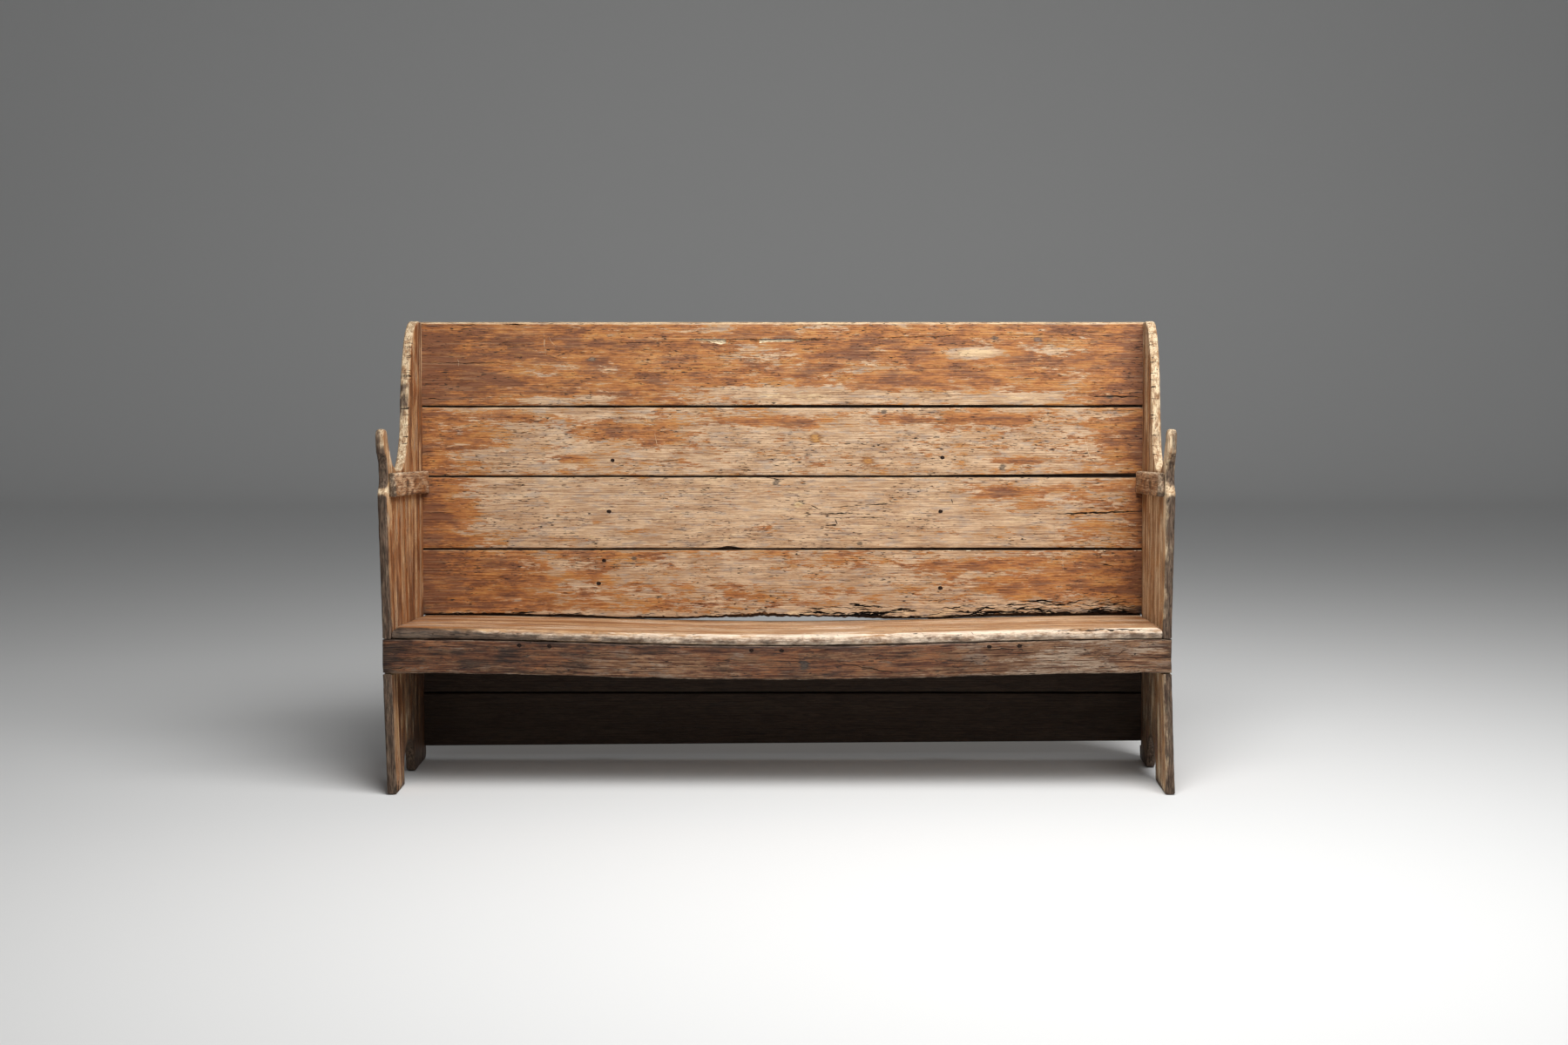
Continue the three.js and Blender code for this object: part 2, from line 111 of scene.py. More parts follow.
def curve(points, steps=8):
    """A Bezier curve through its first and last point, without the first."""
    made = []
    for step in range(1, steps + 1):
        row, share = [Vector(p) for p in points], step / steps
        while len(row) > 1:
            row = [a.lerp(b, share) for a, b in zip(row, row[1:])]
        made.append(tuple(row[0]))
    return made


def arc(middle, radius, first, last, steps=18):
    turns = [math.radians(first + (last - first) * i / steps) for i in range(steps + 1)]
    return [(middle[0] + radius * math.cos(a), middle[1] + radius * math.sin(a)) for a in turns]


def sweep(start, end, shares, steps):
    """A curve between two points, bent by two shares of the way across and up."""
    bends = [(start[0] + a * (end[0] - start[0]), start[1] + u * (end[1] - start[1])) for a, u in shares]
    return curve([start, *bends, end], steps)


arch_width = 143
arch_height = 96
front_foot_round = 9
back_foot_round = 24
neck_depth = 24
neck_rise = 50
neck_drop = 51
neck_middle_drop = 10
horn_radius = 21
horn_base = 118
horn_sweep = [(0.5, 0.05), (0.92, 0.73)]
notch_length = 55
notch_sweep = [(0.11, 0.435), (0.27, 0.84)]
wing_depth = 151
waist_share = 0.405
crown_depth = 30
crown_sweep = [(0.54, 0), (0.85, 0.47)]
rail_top = rail_high.z
notch_height = rail_top + 6
horn_top = notch_height + 105


def end_outline(front_foot):
    """The end board's outline as places in depth and height, starting at the front foot."""
    middle = front_foot + arch_width / 2
    spring = floor_at(middle) + arch_height - arch_width / 2
    arch_end = front_foot + arch_width
    foot, heel = front_foot_round, back_foot_round
    outline = [(0, foot)]
    outline += curve([(0, foot), (0, 0), (foot, floor_at(foot))])
    start = (front_foot - foot, floor_at(front_foot - foot))
    outline += [start]
    outline += curve([start, (front_foot, floor_at(front_foot)), (front_foot, floor_at(front_foot) + foot)])
    outline += arc((middle, spring), arch_width / 2, 180, 0)
    start = (arch_end, floor_at(arch_end) + heel)
    outline += [start]
    outline += curve([start, (arch_end, floor_at(arch_end)), (arch_end + heel, floor_at(arch_end + heel))])
    start = (back_face - heel, floor_at(back_face - heel))
    outline += [start]
    outline += curve([start, (back_face, floor_at(back_face)), (back_face, floor_at(back_face) + heel)])
    crown = (back_depth - crown_depth, end_height)
    waist = (back_depth - wing_depth, notch_height + waist_share * (end_height - notch_height))
    outline += [(back_face, end_height), crown]
    outline += sweep(crown, waist, crown_sweep, 30)
    outline += sweep(waist, (horn_base + notch_length, notch_height), notch_sweep, 24)
    horn_back = (2 * horn_radius, horn_top - horn_radius)
    outline += [(horn_base, notch_height)]
    outline += sweep((horn_base, notch_height), horn_back, horn_sweep, 16)
    outline += arc((horn_radius, horn_top - horn_radius), horn_radius, 0, 180)[1:]
    neck_top, neck_low = rail_top + neck_rise, rail_top - neck_drop
    neck_middle = rail_top - neck_middle_drop
    outline += [(0, neck_top)]
    outline += curve([(0, neck_top), (neck_depth, neck_top - neck_rise / 2), (neck_depth, neck_middle)])
    outline += curve([(neck_depth, neck_middle), (neck_depth, (neck_middle + neck_low) / 2), (0, neck_low)])
    housing = apron_high.y + joint_gap
    outline += [(0, apron_top + joint_gap), (housing, apron_top + joint_gap)]
    outline += [(housing, apron_bottom - joint_gap), (0, apron_bottom - joint_gap)]
    return outline


def cut_lines(plank, axis, faces, places):
    """Cuts a plank's faces into strips, so that they can be worn and bent: in the middle, then each half."""
    if not places:
        return
    half = len(places) // 2
    across = Vector([float(axis == other) for other in range(3)])
    # Each edge and corner once, in the order of the faces
    edges = dict.fromkeys(e for f in faces for e in f.edges)
    verts = dict.fromkeys(v for f in faces for v in f.verts)
    parts = [*faces, *edges, *verts]
    cut = across * places[half]
    made = bmesh.ops.bisect_plane(plank, geom=parts, dist=0.02, plane_co=cut, plane_no=across)
    faces = [part for part in made["geom"] if isinstance(part, bmesh.types.BMFace)]
    below = [f for f in faces if f.calc_center_median()[axis] < places[half]]
    above = [f for f in faces if f.calc_center_median()[axis] >= places[half]]
    cut_lines(plank, axis, below, places[:half])
    cut_lines(plank, axis, above, places[half + 1:])


def saw(outline, low, high, arris, cells):
    """A plank in its own space: along the grain, across it, and through the wood from low to high."""
    plank = bmesh.new()
    under = [plank.verts.new((*place, low)) for place in outline]
    over = [plank.verts.new((*place, high)) for place in outline]
    plank.faces.new(under[::-1])
    plank.faces.new(over)
    for i in range(len(outline)):
        plank.faces.new((under[i - 1], under[i], over[i], over[i - 1]))
    bmesh.ops.recalc_face_normals(plank, faces=plank.faces)
    flat = (high - low) / 4
    rims = [e for e in plank.edges if abs(e.verts[0].co.z - e.verts[1].co.z) < flat]
    bmesh.ops.bevel(plank, geom=rims, offset=arris, segments=3, profile=0.5, affect="EDGES")
    for axis, step in enumerate(cells):
        first, last = min(v.co[axis] for v in plank.verts), max(v.co[axis] for v in plank.verts)
        count = max(2, round((last - first) / step))
        cut_lines(plank, axis, plank.faces[:], [first + (last - first) * i / count for i in range(1, count)])
    # The cuts leave the faces in an order that differs from run to run, so they are sorted by their corners
    plank.verts.index_update()
    total = len(plank.verts)
    plank.faces.sort(key=lambda face: face.verts[0].index * total + face.verts[2].index)
    return plank


def edge_gaps(places, outline):
    """How far each place lies from the plank's outline."""
    places = np.array([(p[0], p[1]) for p in places])
    starts = np.array(outline, float)
    nearest = np.full(len(places), np.inf)
    for start, run in zip(starts, np.roll(starts, -1, 0) - starts):
        share = np.clip((places - start) @ run / max(run @ run, 1e-9), 0, 1)
        gap = np.linalg.norm(places - start - share[:, None] * run, axis=1)
        nearest = np.minimum(nearest, gap)
    return nearest


def uneven(x, y, z):
    """Smooth noise from about -1 to 1, by which one place differs from the next."""
    return noise.noise(Vector((x, y, z)))


def near(distance, reach):
    """1 at no distance, fading away with it."""
    return math.exp(-distance / reach)


def around(place, middle, reach):
    """1 at the middle, fading away on both sides of it."""
    return math.exp(-((place - middle) / reach) ** 2)


def beyond(place, line, softness):
    """0 before the line and 1 past it. With a negative softness it is the other way round."""
    return 1 / (1 + math.exp(-(place - line) / softness))


def weather(plank, outline, low, high, radius, wear, seed):
    """Rounds the plank over by radius(along, across, side), and rubs it down unevenly by wear."""
    middle, half = (low + high) / 2, (high - low) / 2
    gaps = edge_gaps([v.co for v in plank.verts], outline)
    for vert, gap in zip(plank.verts, gaps):
        side = 1 if vert.co.z > middle else -1
        reach = min(radius(vert.co.x, vert.co.y, side), half - 1)
        if gap < reach:
            left = half - reach + math.sqrt(reach**2 - (reach - gap) ** 2)
            vert.co.z = middle + (vert.co.z - middle) * left / half
    plank.normal_update()
    shifts = []
    for vert, gap in zip(plank.verts, gaps):
        place = vert.co + Vector((0, 0, seed * 97))
        roll = 0.5 + 0.5 * uneven(place.x / 170, place.y / 45, place.z / 90)
        bite = max(0, noise.noise(place / 34) + 0.25 * noise.noise(place / 9) + 0.1)
        rough = abs(uneven(place.x / 12, place.y / 5, place.z / 5))
        shifts.append(vert.normal * -(0.5 * roll + near(gap, 7) * (wear * bite + 0.25 * wear * rough)))
    for vert, shift in zip(plank.verts, shifts):
        vert.co += shift


def bar(rings, finish=1):
    """A cutting shape through rings of points. The faces that it cuts take that finish of the plank."""
    tool = bmesh.new()
    rings = [[tool.verts.new(place) for place in ring] for ring in rings]
    tool.faces.new(rings[0])
    tool.faces.new(rings[-1][::-1])
    for last, ring in zip(rings, rings[1:]):
        for j in range(len(ring)):
            tool.faces.new((last[j - 1], last[j], ring[j], ring[j - 1]))
    bmesh.ops.recalc_face_normals(tool, faces=tool.faces)
    for face in tool.faces:
        face.material_index = finish
    return tool


# How far a cutting shape stands out of the face that it cuts
proud = 1.5


def crack(start, end, width, depth, face, seed, wander, finish=1):
    """A crack that wanders from start to end, open at the face of the wood and closing at its depth."""
    start, end = Vector(start), Vector(end)
    run = end - start
    across = Vector((-run.y, run.x)).normalized()
    steps = max(4, round(run.length / 6))
    rings = []
    for i in range(steps + 1):
        share = i / steps
        place = share * run.length
        drift = uneven(place / 22, seed * 7.3, 2) + 0.5 * uneven(place / 6, seed * 3.1, 5)
        middle = start + run * share + across * wander * drift * math.sin(math.pi * share) ** 0.5
        gape = width / 2 * math.sin(math.pi * min(max(share, 0.03), 0.97)) ** 0.7
        gape *= 0.8 + 0.7 * uneven(place / 9, seed * 5.7, 9)
        above, below = face - math.copysign(proud, depth), face + depth
        spread = [(-gape, above), (gape, above), (0.4 * gape, below), (-0.3 * gape, below)]
        rings.append([(*(middle + across * aside), level) for aside, level in spread])
    return bar(rings, finish)


def cracks(rows, face, seed, wander, sign=1):
    """Cracks by their two ends, width and depth. sign turns their depth the way that goes into the wood."""
    return [
        crack(row[:2], row[2:4], row[4], sign * row[5], face, seed + number, wander)
        for number, row in enumerate(rows)
    ]


def pit(place, radius, depth, face, seed, finish=1, longer=1.25, sides=10):
    """A small crushed hole, such as the one round a driven nail."""
    above = face - math.copysign(proud, depth)
    rings = []
    for spread, level in ((1.05, above), (0.95, face + 0.3 * depth), (0.7, face + depth)):
        ring = []
        for i in range(sides):
            turn = math.tau * i / sides
            size = radius * spread * (1 + 0.3 * uneven(2 * math.cos(turn), 2 * math.sin(turn), seed * 1.7))
            ring.append((place[0] + longer * size * math.cos(turn), place[1] + size * math.sin(turn), level))
        rings.append(ring)
    return bar(rings, finish)


def cut_away(mesh, tools):
    """Cuts cracks and pits out of a plank, one after the other."""
    plank = bpy.data.objects.new("plank", mesh)
    bpy.context.scene.collection.objects.link(plank)
    cutters = []
    for tool in tools:
        shape = bpy.data.meshes.new("tool")
        tool.to_mesh(shape)
        tool.free()
        cutter = bpy.data.objects.new("tool", shape)
        bpy.context.scene.collection.objects.link(cutter)
        cutters.append(cutter)
        saw_cut = plank.modifiers.new("cut", "BOOLEAN")
        saw_cut.operation, saw_cut.solver, saw_cut.object = "DIFFERENCE", "MANIFOLD", cutter
    made = bpy.data.meshes.new_from_object(plank.evaluated_get(bpy.context.evaluated_depsgraph_get()))
    for ob in [plank, *cutters]:
        bpy.data.objects.remove(ob)
    return made


# Each plank takes its grain from its own place in one long log, this much further along it and across it
log_step = (613, 41)
# How far the look of an edge reaches in from the plank's outline
edge_width = 6


def in_log(place, shift):
    return (place[0] + shift * log_step[0], place[1] + shift * log_step[1])


def put_up(name, plank, outline, lie, finishes, look, tools=(), bend=None, shift=0):
    """Stands a plank in the bench. lie says which of its own ways, u, v or w, runs along the bench's X, Y
    and Z. look gives how bare it is at a place and how dark, with dirt and painted shade, and shift moves its
    grain along the log."""
    mesh = bpy.data.meshes.new(name)
    plank.to_mesh(mesh)
    plank.free()
    for finish in finishes:
        mesh.materials.append(finish)
    if tools:
        mesh = cut_away(mesh, tools)
        mesh.name = name
    own = [v.co.copy() for v in mesh.vertices]
    gaps = edge_gaps(own, outline)
    grain = mesh.attributes.new("grain", "FLOAT_VECTOR", "POINT")
    grain.data.foreach_set("vector", [c for place in own for c in (*in_log(place, shift), place.z)])
    looks = np.array([look(*place, gap) for place, gap in zip(own, gaps)])
    edge = np.clip(1 - gaps / edge_width, 0, 1)
    for key, values in (("bare", looks[:, 0]), ("grime_and_shade", looks[:, 1]), ("edge", edge)):
        field = mesh.attributes.new(key, "FLOAT", "POINT")
        field.data.foreach_set("value", values.astype(np.float32))
    for vert, place in zip(mesh.vertices, own):
        square = Vector(place["uvw".index(way)] for way in lie)
        vert.co = to_row @ (bend(square) if bend else square)
    mesh.update()
    if Matrix([[way == own_way for own_way in "uvw"] for way in lie]).determinant() < 0:
        mesh.flip_normals()
    for polygon in mesh.polygons:
        polygon.use_smooth = True
    mark_sharp(mesh)
    piece = bpy.data.objects.new(name + ".worn", mesh)
    bpy.context.scene.collection.objects.link(piece)
    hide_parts(name)
    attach(piece, "root")


def mark_sharp(mesh, angle=50):
    """Keeps the shading crisp where a crack breaks the surface."""
    shape = bmesh.new()
    shape.from_mesh(mesh)
    for edge in shape.edges:
        if len(edge.link_faces) == 2 and edge.calc_face_angle(0) > math.radians(angle):
            edge.smooth = False
    shape.to_mesh(mesh)
    shape.free()


def paint(code):
    """A colour code as the linear colour that a shader takes."""
    parts = [int(code[i:i + 2], 16) / 255 for i in (0, 2, 4)]
    return (*(c / 12.92 if c <= 0.04045 else ((c + 0.055) / 1.055) ** 2.4 for c in parts), 1)


class Finish:
    """A material whose nodes are laid one call at a time. Each call gives the socket that it made."""

    def __init__(self, name):
        self.material = bpy.data.materials.new(name)
        self.material.use_nodes = True
        self.tree = self.material.node_tree
        self.surface = self.tree.nodes["Principled BSDF"]
        self.grain = self.lay("Attribute", out="Vector", attribute_name="grain")

    def join(self, socket, value):
        if isinstance(value, bpy.types.NodeSocket):
            self.tree.links.new(value, socket)
        else:
            socket.default_value = value

    def lay(self, kind, inputs=None, out=0, **settings):
        made = self.tree.nodes.new("ShaderNode" + kind)
        for key, value in settings.items():
            setattr(made, key, value)
        for socket, value in (inputs or {}).items():
            self.join(made.inputs[socket], value)
        return made.outputs[out]

    def coat(self, colour, roughness, height, strength, depth):
        """Gives the surface its colour, its roughness, and its relief from a height."""
        self.join(self.surface.inputs["Base Color"], colour)
        self.join(self.surface.inputs["Roughness"], roughness)
        relief = self.lay("Bump", {"Strength": strength, "Distance": depth, "Height": height})
        self.join(self.surface.inputs["Normal"], relief)
        return self.material

    def field(self, name):
        return self.lay("Attribute", out="Fac", attribute_name=name)

    def streaks(self, length, height, detail=4, rough=0.6, twist=0.0, offset=0.0):
        """Noise drawn out along the grain. Length and height are in millimetres."""
        scale = (1 / length, 1 / height, 1 / height)
        place = self.lay("VectorMath", {0: self.grain, 1: scale}, operation="MULTIPLY")
        if offset:
            place = self.lay("VectorMath", {0: place, 1: (offset, offset, offset)}, operation="ADD")
        settings = {"Vector": place, "Scale": 1, "Detail": detail, "Roughness": rough, "Distortion": twist}
        return self.lay("TexNoise", settings)

    def span(self, value, low, high, to=(0, 1)):
        settings = {"Value": value, "From Min": low, "From Max": high, "To Min": to[0], "To Max": to[1]}
        return self.lay("MapRange", settings, interpolation_type="SMOOTHSTEP")

    def maths(self, operation, first, second):
        return self.lay("Math", {0: first, 1: second}, operation=operation)

    def swing(self, streaks, strength):
        """Streaks as a change to both sides of nothing."""
        return self.maths("MULTIPLY", self.maths("SUBTRACT", streaks, 0.5), strength)

    def mix(self, share, first, second, blend="MIX"):
        return self.lay("Mix", {0: share, 6: first, 7: second}, out=2, data_type="RGBA", blend_type=blend)


fibre_shade = paint("90694C")
speck_tone = paint("2E2018")


def old_pine(
    name, varnish, wood, rim, dirt_and_shade, film=0.9, marks=1.0, combed=(0.12, 180, 5.5), spread=1.0, grainy=0.38,
    knots=(),
):
    """Old pine under what is left of its varnish. varnish is the film where it is whole, dark, and worn thin.
    wood is the bare wood where it is clean, aged, and greyed. rim and the pair after it are light and dark:
    worn edges, and dirt together with painted shade. film is how well the varnish covers, and marks how many
    dark specks there are. combed is the share, the length and the width of the pale lines along the grain.
    spread is how large the worn patches are, and grainy how strongly the fibres show. knots are given by
    their place in the log, their size and their two colours."""
    made = Finish(name)
    bare, grime_and_shade, edge = made.field("bare"), made.field("grime_and_shade"), made.field("edge")
    rings = made.lay("TexWave", {
        "Vector": made.lay("VectorMath", {0: made.grain, 1: (0.05, 1, 1)}, operation="MULTIPLY"),
        "Scale": 0.05, "Distortion": 5.0, "Detail": 3.0, "Detail Scale": 0.5, "Detail Roughness": 0.6,
    }, wave_type="RINGS", rings_direction="X")
    fibres = made.streaks(50, 1.4, detail=4, rough=0.7)
    grain_lines = made.streaks(130, 3.8, detail=6, rough=0.7, offset=6.6)
    cloudy = made.streaks(100 * spread, 34 * spread, detail=7, rough=0.66, offset=7.7)
    fringe = made.streaks(30, 3.0, detail=4, rough=0.7, offset=4.4)
    smudges = made.streaks(60, 13 * spread, detail=6, rough=0.7, offset=11.3)
    patches = made.streaks(90 * spread, 24 * spread, detail=10, rough=0.68, twist=0.4, offset=3.1)

    wood_colour = made.mix(made.span(cloudy, 0.4, 0.6), paint(wood[0]), paint(wood[1]))
    wood_colour = made.mix(made.span(smudges, 0.5, 0.62, (0, 0.55)), wood_colour, paint(wood[2]))
    wood_colour = made.mix(made.span(rings, 0.6, 1.0, (0, 0.2)), wood_colour, paint(varnish[1]))
    level = made.maths("ADD", bare, made.maths("ADD", made.swing(patches, 2.3), made.swing(fringe, 1.8)))
    thick = made.maths("ADD", level, made.swing(cloudy, 2.2))
    varnish_colour = made.mix(made.span(thick, -0.15, 0.3), paint(varnish[1]), paint(varnish[0]))
    varnish_colour = made.mix(made.span(thick, 0.25, 0.6, (0, 0.75)), varnish_colour, paint(varnish[2]))
    varnish_colour = made.mix(made.span(smudges, 0.36, 0.46, (0.3, 0)), varnish_colour, paint(varnish[2]))
    worn = made.span(level, 0.445, 0.535)
    left = made.span(worn, 0, 1, (film, 0))
    colour = made.mix(left, wood_colour, varnish_colour)
    lines = made.streaks(combed[1], combed[2], detail=5, rough=0.62, offset=8.1)
    colour = made.mix(made.span(lines, 0.52, 0.62, (0, combed[0])), colour, paint(rim[0]))
    colour = made.mix(made.span(level, 1.12, 1.3), colour, paint(rim[0]))

    rim_look = made.span(made.streaks(26, 12, detail=6, rough=0.72, offset=1.3), 0.42, 0.62)
    colour = made.mix(made.span(edge, 0.3, 0.95), colour, made.mix(rim_look, paint(rim[0]), paint(rim[1])))
    soot = made.swing(made.streaks(60, 20, detail=7, rough=0.7, offset=5.5), 1.9)
    # The dark field and the soot darken the wood with the dark pair: dirt, and painted shade where the field
    # carries it
    soiled_and_shaded = made.span(made.maths("ADD", grime_and_shade, soot), 0.28, 1.0, (0, 0.94))
    colour = made.mix(soiled_and_shaded, colour, made.mix(made.span(fringe, 0.36, 0.62), paint(dirt_and_shade[1]), paint(dirt_and_shade[0])))
    colour = made.mix(made.span(fibres, 0.48, 0.62, (0, grainy)), colour, fibre_shade, "MULTIPLY")
    colour = made.mix(made.span(grain_lines, 0.5, 0.58, (0, grainy)), colour, fibre_shade, "MULTIPLY")
    dashes = made.span(made.streaks(17, 2.5, detail=2, rough=0.5, offset=9.4), 0.622, 0.662)
    crowded = made.span(made.streaks(150, 50, detail=4, offset=2.2), 0.42, 0.58, (0.12, 0.95 * marks))
    dashes = made.maths("MULTIPLY", dashes, crowded)
    colour = made.mix(dashes, colour, speck_tone)
    for place, size, tone in knots:
        away = made.lay("VectorMath", {0: made.grain, 1: (*place, 0)}, operation="SUBTRACT")
        away = made.lay("VectorMath", {0: away, 1: (1 / size[0], 1 / size[1], 0)}, operation="MULTIPLY")
        away = made.lay("VectorMath", {0: away}, out="Value", operation="LENGTH")
        away = made.maths("ADD", away, made.swing(fringe, 2.8))
        ring = made.maths("SINE", made.maths("MULTIPLY", away, 7.0), 0.0)
        heart = made.span(away, 0.5, 1.05, (0.9, 0))
        colour = made.mix(heart, colour, made.mix(made.span(ring, -0.9, 1.2), paint(tone[0]), paint(tone[1])))
    made.surface.inputs["Specular IOR Level"].default_value = 0.35
    height = made.maths("ADD", made.maths("MULTIPLY", fibres, 0.8), made.maths("MULTIPLY", rings, 0.25))
    for lowered, depth in ((grain_lines, 1.2), (dashes, 1.2), (worn, 0.35)):
        height = made.maths("SUBTRACT", height, made.maths("MULTIPLY", lowered, depth))
    return made.coat(colour, made.span(worn, 0, 1, (0.5, 0.8)), height, 0.8, 0.001)


def torn_wood(name, tear, rough, shades, dark, light, dull, relief):
    """Wood that is torn and not cut, in tears of a length and a width in millimetres."""
    made = Finish(name)
    torn = made.streaks(*tear, detail=5, rough=rough)
    colour = made.mix(made.span(torn, *shades), paint(dark), paint(light))
    return made.coat(colour, dull, torn, *relief)


inside_cracks = torn_wood("crack_wood", (14, 2.4), 0.7, (0.4, 0.7), "17100C", "4A3524", 0.95, (0.6, 0.001))
end_pine = old_pine(
    "end_pine", ("9A5C2E", "683B1E", "B47A44"), ("CDA06E", "A67A4E", "A39689"), ("E8D2AE", "AE8B66"),
    ("6E5A4B", "1F140E"), combed=(0.45, 260, 9), spread=1.3, grainy=0.6,
)

# How far the horns and the front feet lean outward, or inward where negative, and how deep the feet are
horn_lean = {"left": 15, "right": 11}
foot_lean = {"left": -10, "right": 10}
front_foot_depth = {"left": 120, "right": 165}
outward = {"left": -1, "right": 1}
rebate_width = 12


def lean(side, depth, height):
    """How far an end board has warped outward: free in front, held straight by the back."""
    free = max(0, 1 - depth / back_depth)
    above = max(0, height - seat_top) / (horn_top - seat_top)
    below = max(0, apron_bottom - height) / apron_bottom
    return free * (horn_lean[side] * above + foot_lean[side] * below)


def leaning(side):
    def bend(place):
        return place + Vector((outward[side] * lean(side, place.y, place.z), 0, 0))
    return bend


# Heights of the clean chip in the neck, of the dirt just above the apron's ends, and below which the feet
# and the inner faces under the seat are darkened, partly dirt and partly painted shade
chip_height = 774
above_apron = 398
feet_height = 330
# How thick the grime in front is, and how far it goes above the arm rail
front_grime = {"left": (1.5, 62), "right": (0.95, 20)}
# The dark stain in the edge of the wing: how strong it is, its height and how far it reaches
wing_stain = {"left": (1, 1005, 75), "right": (0.6, 905, 22)}
# How much further the varnish is worn on the inner faces. The right face is made much barer and so paler
# as painted light, to look as lit as the left
inner_wear_and_light = {"left": -0.06, "right": 0.62}
# The two boards are worn in different places
end_seed = {"left": 3, "right": 8}


def end_look(side):
    """The front is black with dirt up to the neck, the wing's edge rubbed bare, and the feet and the inner
    faces under the seat darkened, with dirt and with painted shade.
    """
    thickness, above_rail = front_grime[side]
    stain, stain_height, stain_reach = wing_stain[side]

    def look(height, depth, through, gap):
        inside = abs(through) < inner_half + end_thickness / 2
        outer = (abs(through) - inner_half) / end_thickness
        in_wing = height > notch_height + 40 and depth > horn_base
        in_horn = height > notch_height - 30 and depth < horn_base
        on_edge = near(gap, 5)
        front = near(gap if depth < 28 and height > apron_top + 20 else depth, 7)
        below_neck = beyond(height, rail_top + above_rail, -8)
        horn = beyond(height, rail_top + 60, 12) * near(depth, 12)
        chip = around(height, chip_height, 11) * near(depth, 22)
        corner = 0.3 * near(back_depth - depth, 45)

        grime_and_shade = front * max(thickness * below_neck, (0.1 + 0.4 * outer) * horn)
        grime_and_shade += 0.2 * corner - 2 * chip
        grime_and_shade += 0.6 * near(height, 26)
        # Below the seat the edges, and further back the inner faces, are darkened: partly dirt, partly
        # painted shade under the seat
        if depth > 60 and height < feet_height:
            grime_and_shade += 0.9 * on_edge + 0.25 + 0.5 * inside * min(1, (depth - 60) / 180)
        if in_wing:
            stained = stain * around(height, stain_height, stain_reach)
            grime_and_shade += 0.8 * stained * on_edge * (1 + uneven(height / 18, depth / 14, through / 9))
        if abs(height - above_apron) < 45 and depth < 12:
            grime_and_shade += 0.5

        streaky = uneven(height / 320, depth / 24, end_seed[side])
        streaky += 0.6 * uneven(height / 70, depth / 45, 5)
        bare = 0.34 + 0.35 * on_edge - corner + (1.15 if inside else 0.5) * streaky
        bare += 0.25 * around(height, 700, 110)
        # On the right board this paler inner face is painted light
        if inside:
            bare += inner_wear_and_light[side]
        if in_wing:
            bare += 0.45 * on_edge + 0.2 * near(gap, 30)
        bare += 1.1 * chip
        if in_horn:
            bare += 0.4
            grime_and_shade += 0.25 + 0.5 * uneven(height / 30, depth / 20, through / 12)
        if not inside:
            bare, grime_and_shade = bare - 0.1, grime_and_shade + 0.2
        return bare, grime_and_shade
    return look


def horn_round(height, depth, face):
    """Hands have worn the horn round, and legs the edge below it."""
    if height > notch_height - 10 and depth < horn_base:
        return 6.5 * min(1, (height - notch_height + 10) / 25)
    if depth < 30 and height > 60:
        return 5
    return 3.5


# Cracks in the inner faces: height and depth of each end, width, and how far into the wood
end_cracks = {
    "left": [(470, 205, 735, 180, 3.4, 9), (520, 300, 700, 306, 1.6, 6), (880, 330, 1090, 352, 1.4, 5)],
    "right": [(450, 250, 740, 268, 2.2, 7), (500, 120, 660, 132, 1.6, 5), (860, 330, 1160, 380, 1.8, 6)],
}
# Splinters broken from the inner side of the front foot: how deep in the foot, how wide and how high
foot_splinters = {
    "left": [(6, 15, 42), (19, 12, 26), (33, 16, 34), (52, 9, 18)],
    "right": [(5, 9, 16), (40, 8, 20), (70, 10, 14)],
}
rebate_low = 67
wing_cracks = 16
wing_seed = {"left": 6, "right": 5}
for index, side in enumerate(("left", "right")):
    outline = [(z, y) for y, z in end_outline(front_foot_depth[side])]
    faces = sorted((outward[side] * inner_half, outward[side] * bench_half))
    plank = saw(outline, *faces, 3, (9, 9, 6))
    weather(plank, outline, *faces, horn_round, 1.6, end_seed[side])
    reach = outward[side] * (inner_half + rebate_width)
    past = outward[side] * (inner_half - 5)
    rebate = [(back_depth - joint_gap, past), (back_depth - joint_gap, reach)]
    rebate += [(back_face + 20, reach), (back_face + 20, past)]
    tools = [bar([[(height, *place) for place in rebate] for height in (rebate_low, end_height + 20)], 0)]
    inner = faces[1] if side == "left" else faces[0]
    tools += cracks(end_cracks[side], inner, 11, 2.5, outward[side])
    for number, (place, width, rise) in enumerate(foot_splinters[side]):
        tools.append(crack((-6, place), (rise, place + 2), width, outward[side] * 10, inner, number + 70, 2))
    wing = [place for place in outline if place[0] > notch_height + 5]
    wing = sorted(place for place in wing if horn_base < place[1] < back_depth - 30)
    rng = random.Random(wing_seed[side])
    for number in range(wing_cracks):
        height = rng.uniform(notch_height + 20, end_height - 30)
        place = np.interp(height, *zip(*wing)) - 5
        start, end = (height, place), (height + rng.uniform(-7, 7), place + rng.uniform(12, 28))
        deep = outward[side] * end_thickness * rng.uniform(0.4, 0.9)
        tools.append(crack(start, end, rng.uniform(1.8, 4), deep, inner, number + 40, 5))
    put_up(
        f"{side}_end_board", plank, outline, "wvu", [end_pine, inside_cracks],
        end_look(side), tools, leaning(side), 1 + index,
    )

# Arm rails
# A batten of pine nailed to the inner face of each end board, level with the arm notch. Hands have worn its
# upper inner edge round, and its varnish is gone in blotches.
rail_pine = old_pine(
    "rail_pine", ("99653B", "613E28", "B28356"), ("CDA882", "A58160", "A39380"), ("DCC4A4", "6A5340"),
    ("64513F", "2E241E"), marks=1.6, combed=(0.35, 90, 7), grainy=0.6,
)
rail_thickness = 18
rail_worn = 9
rail_seed = {"left": 21, "right": 24}


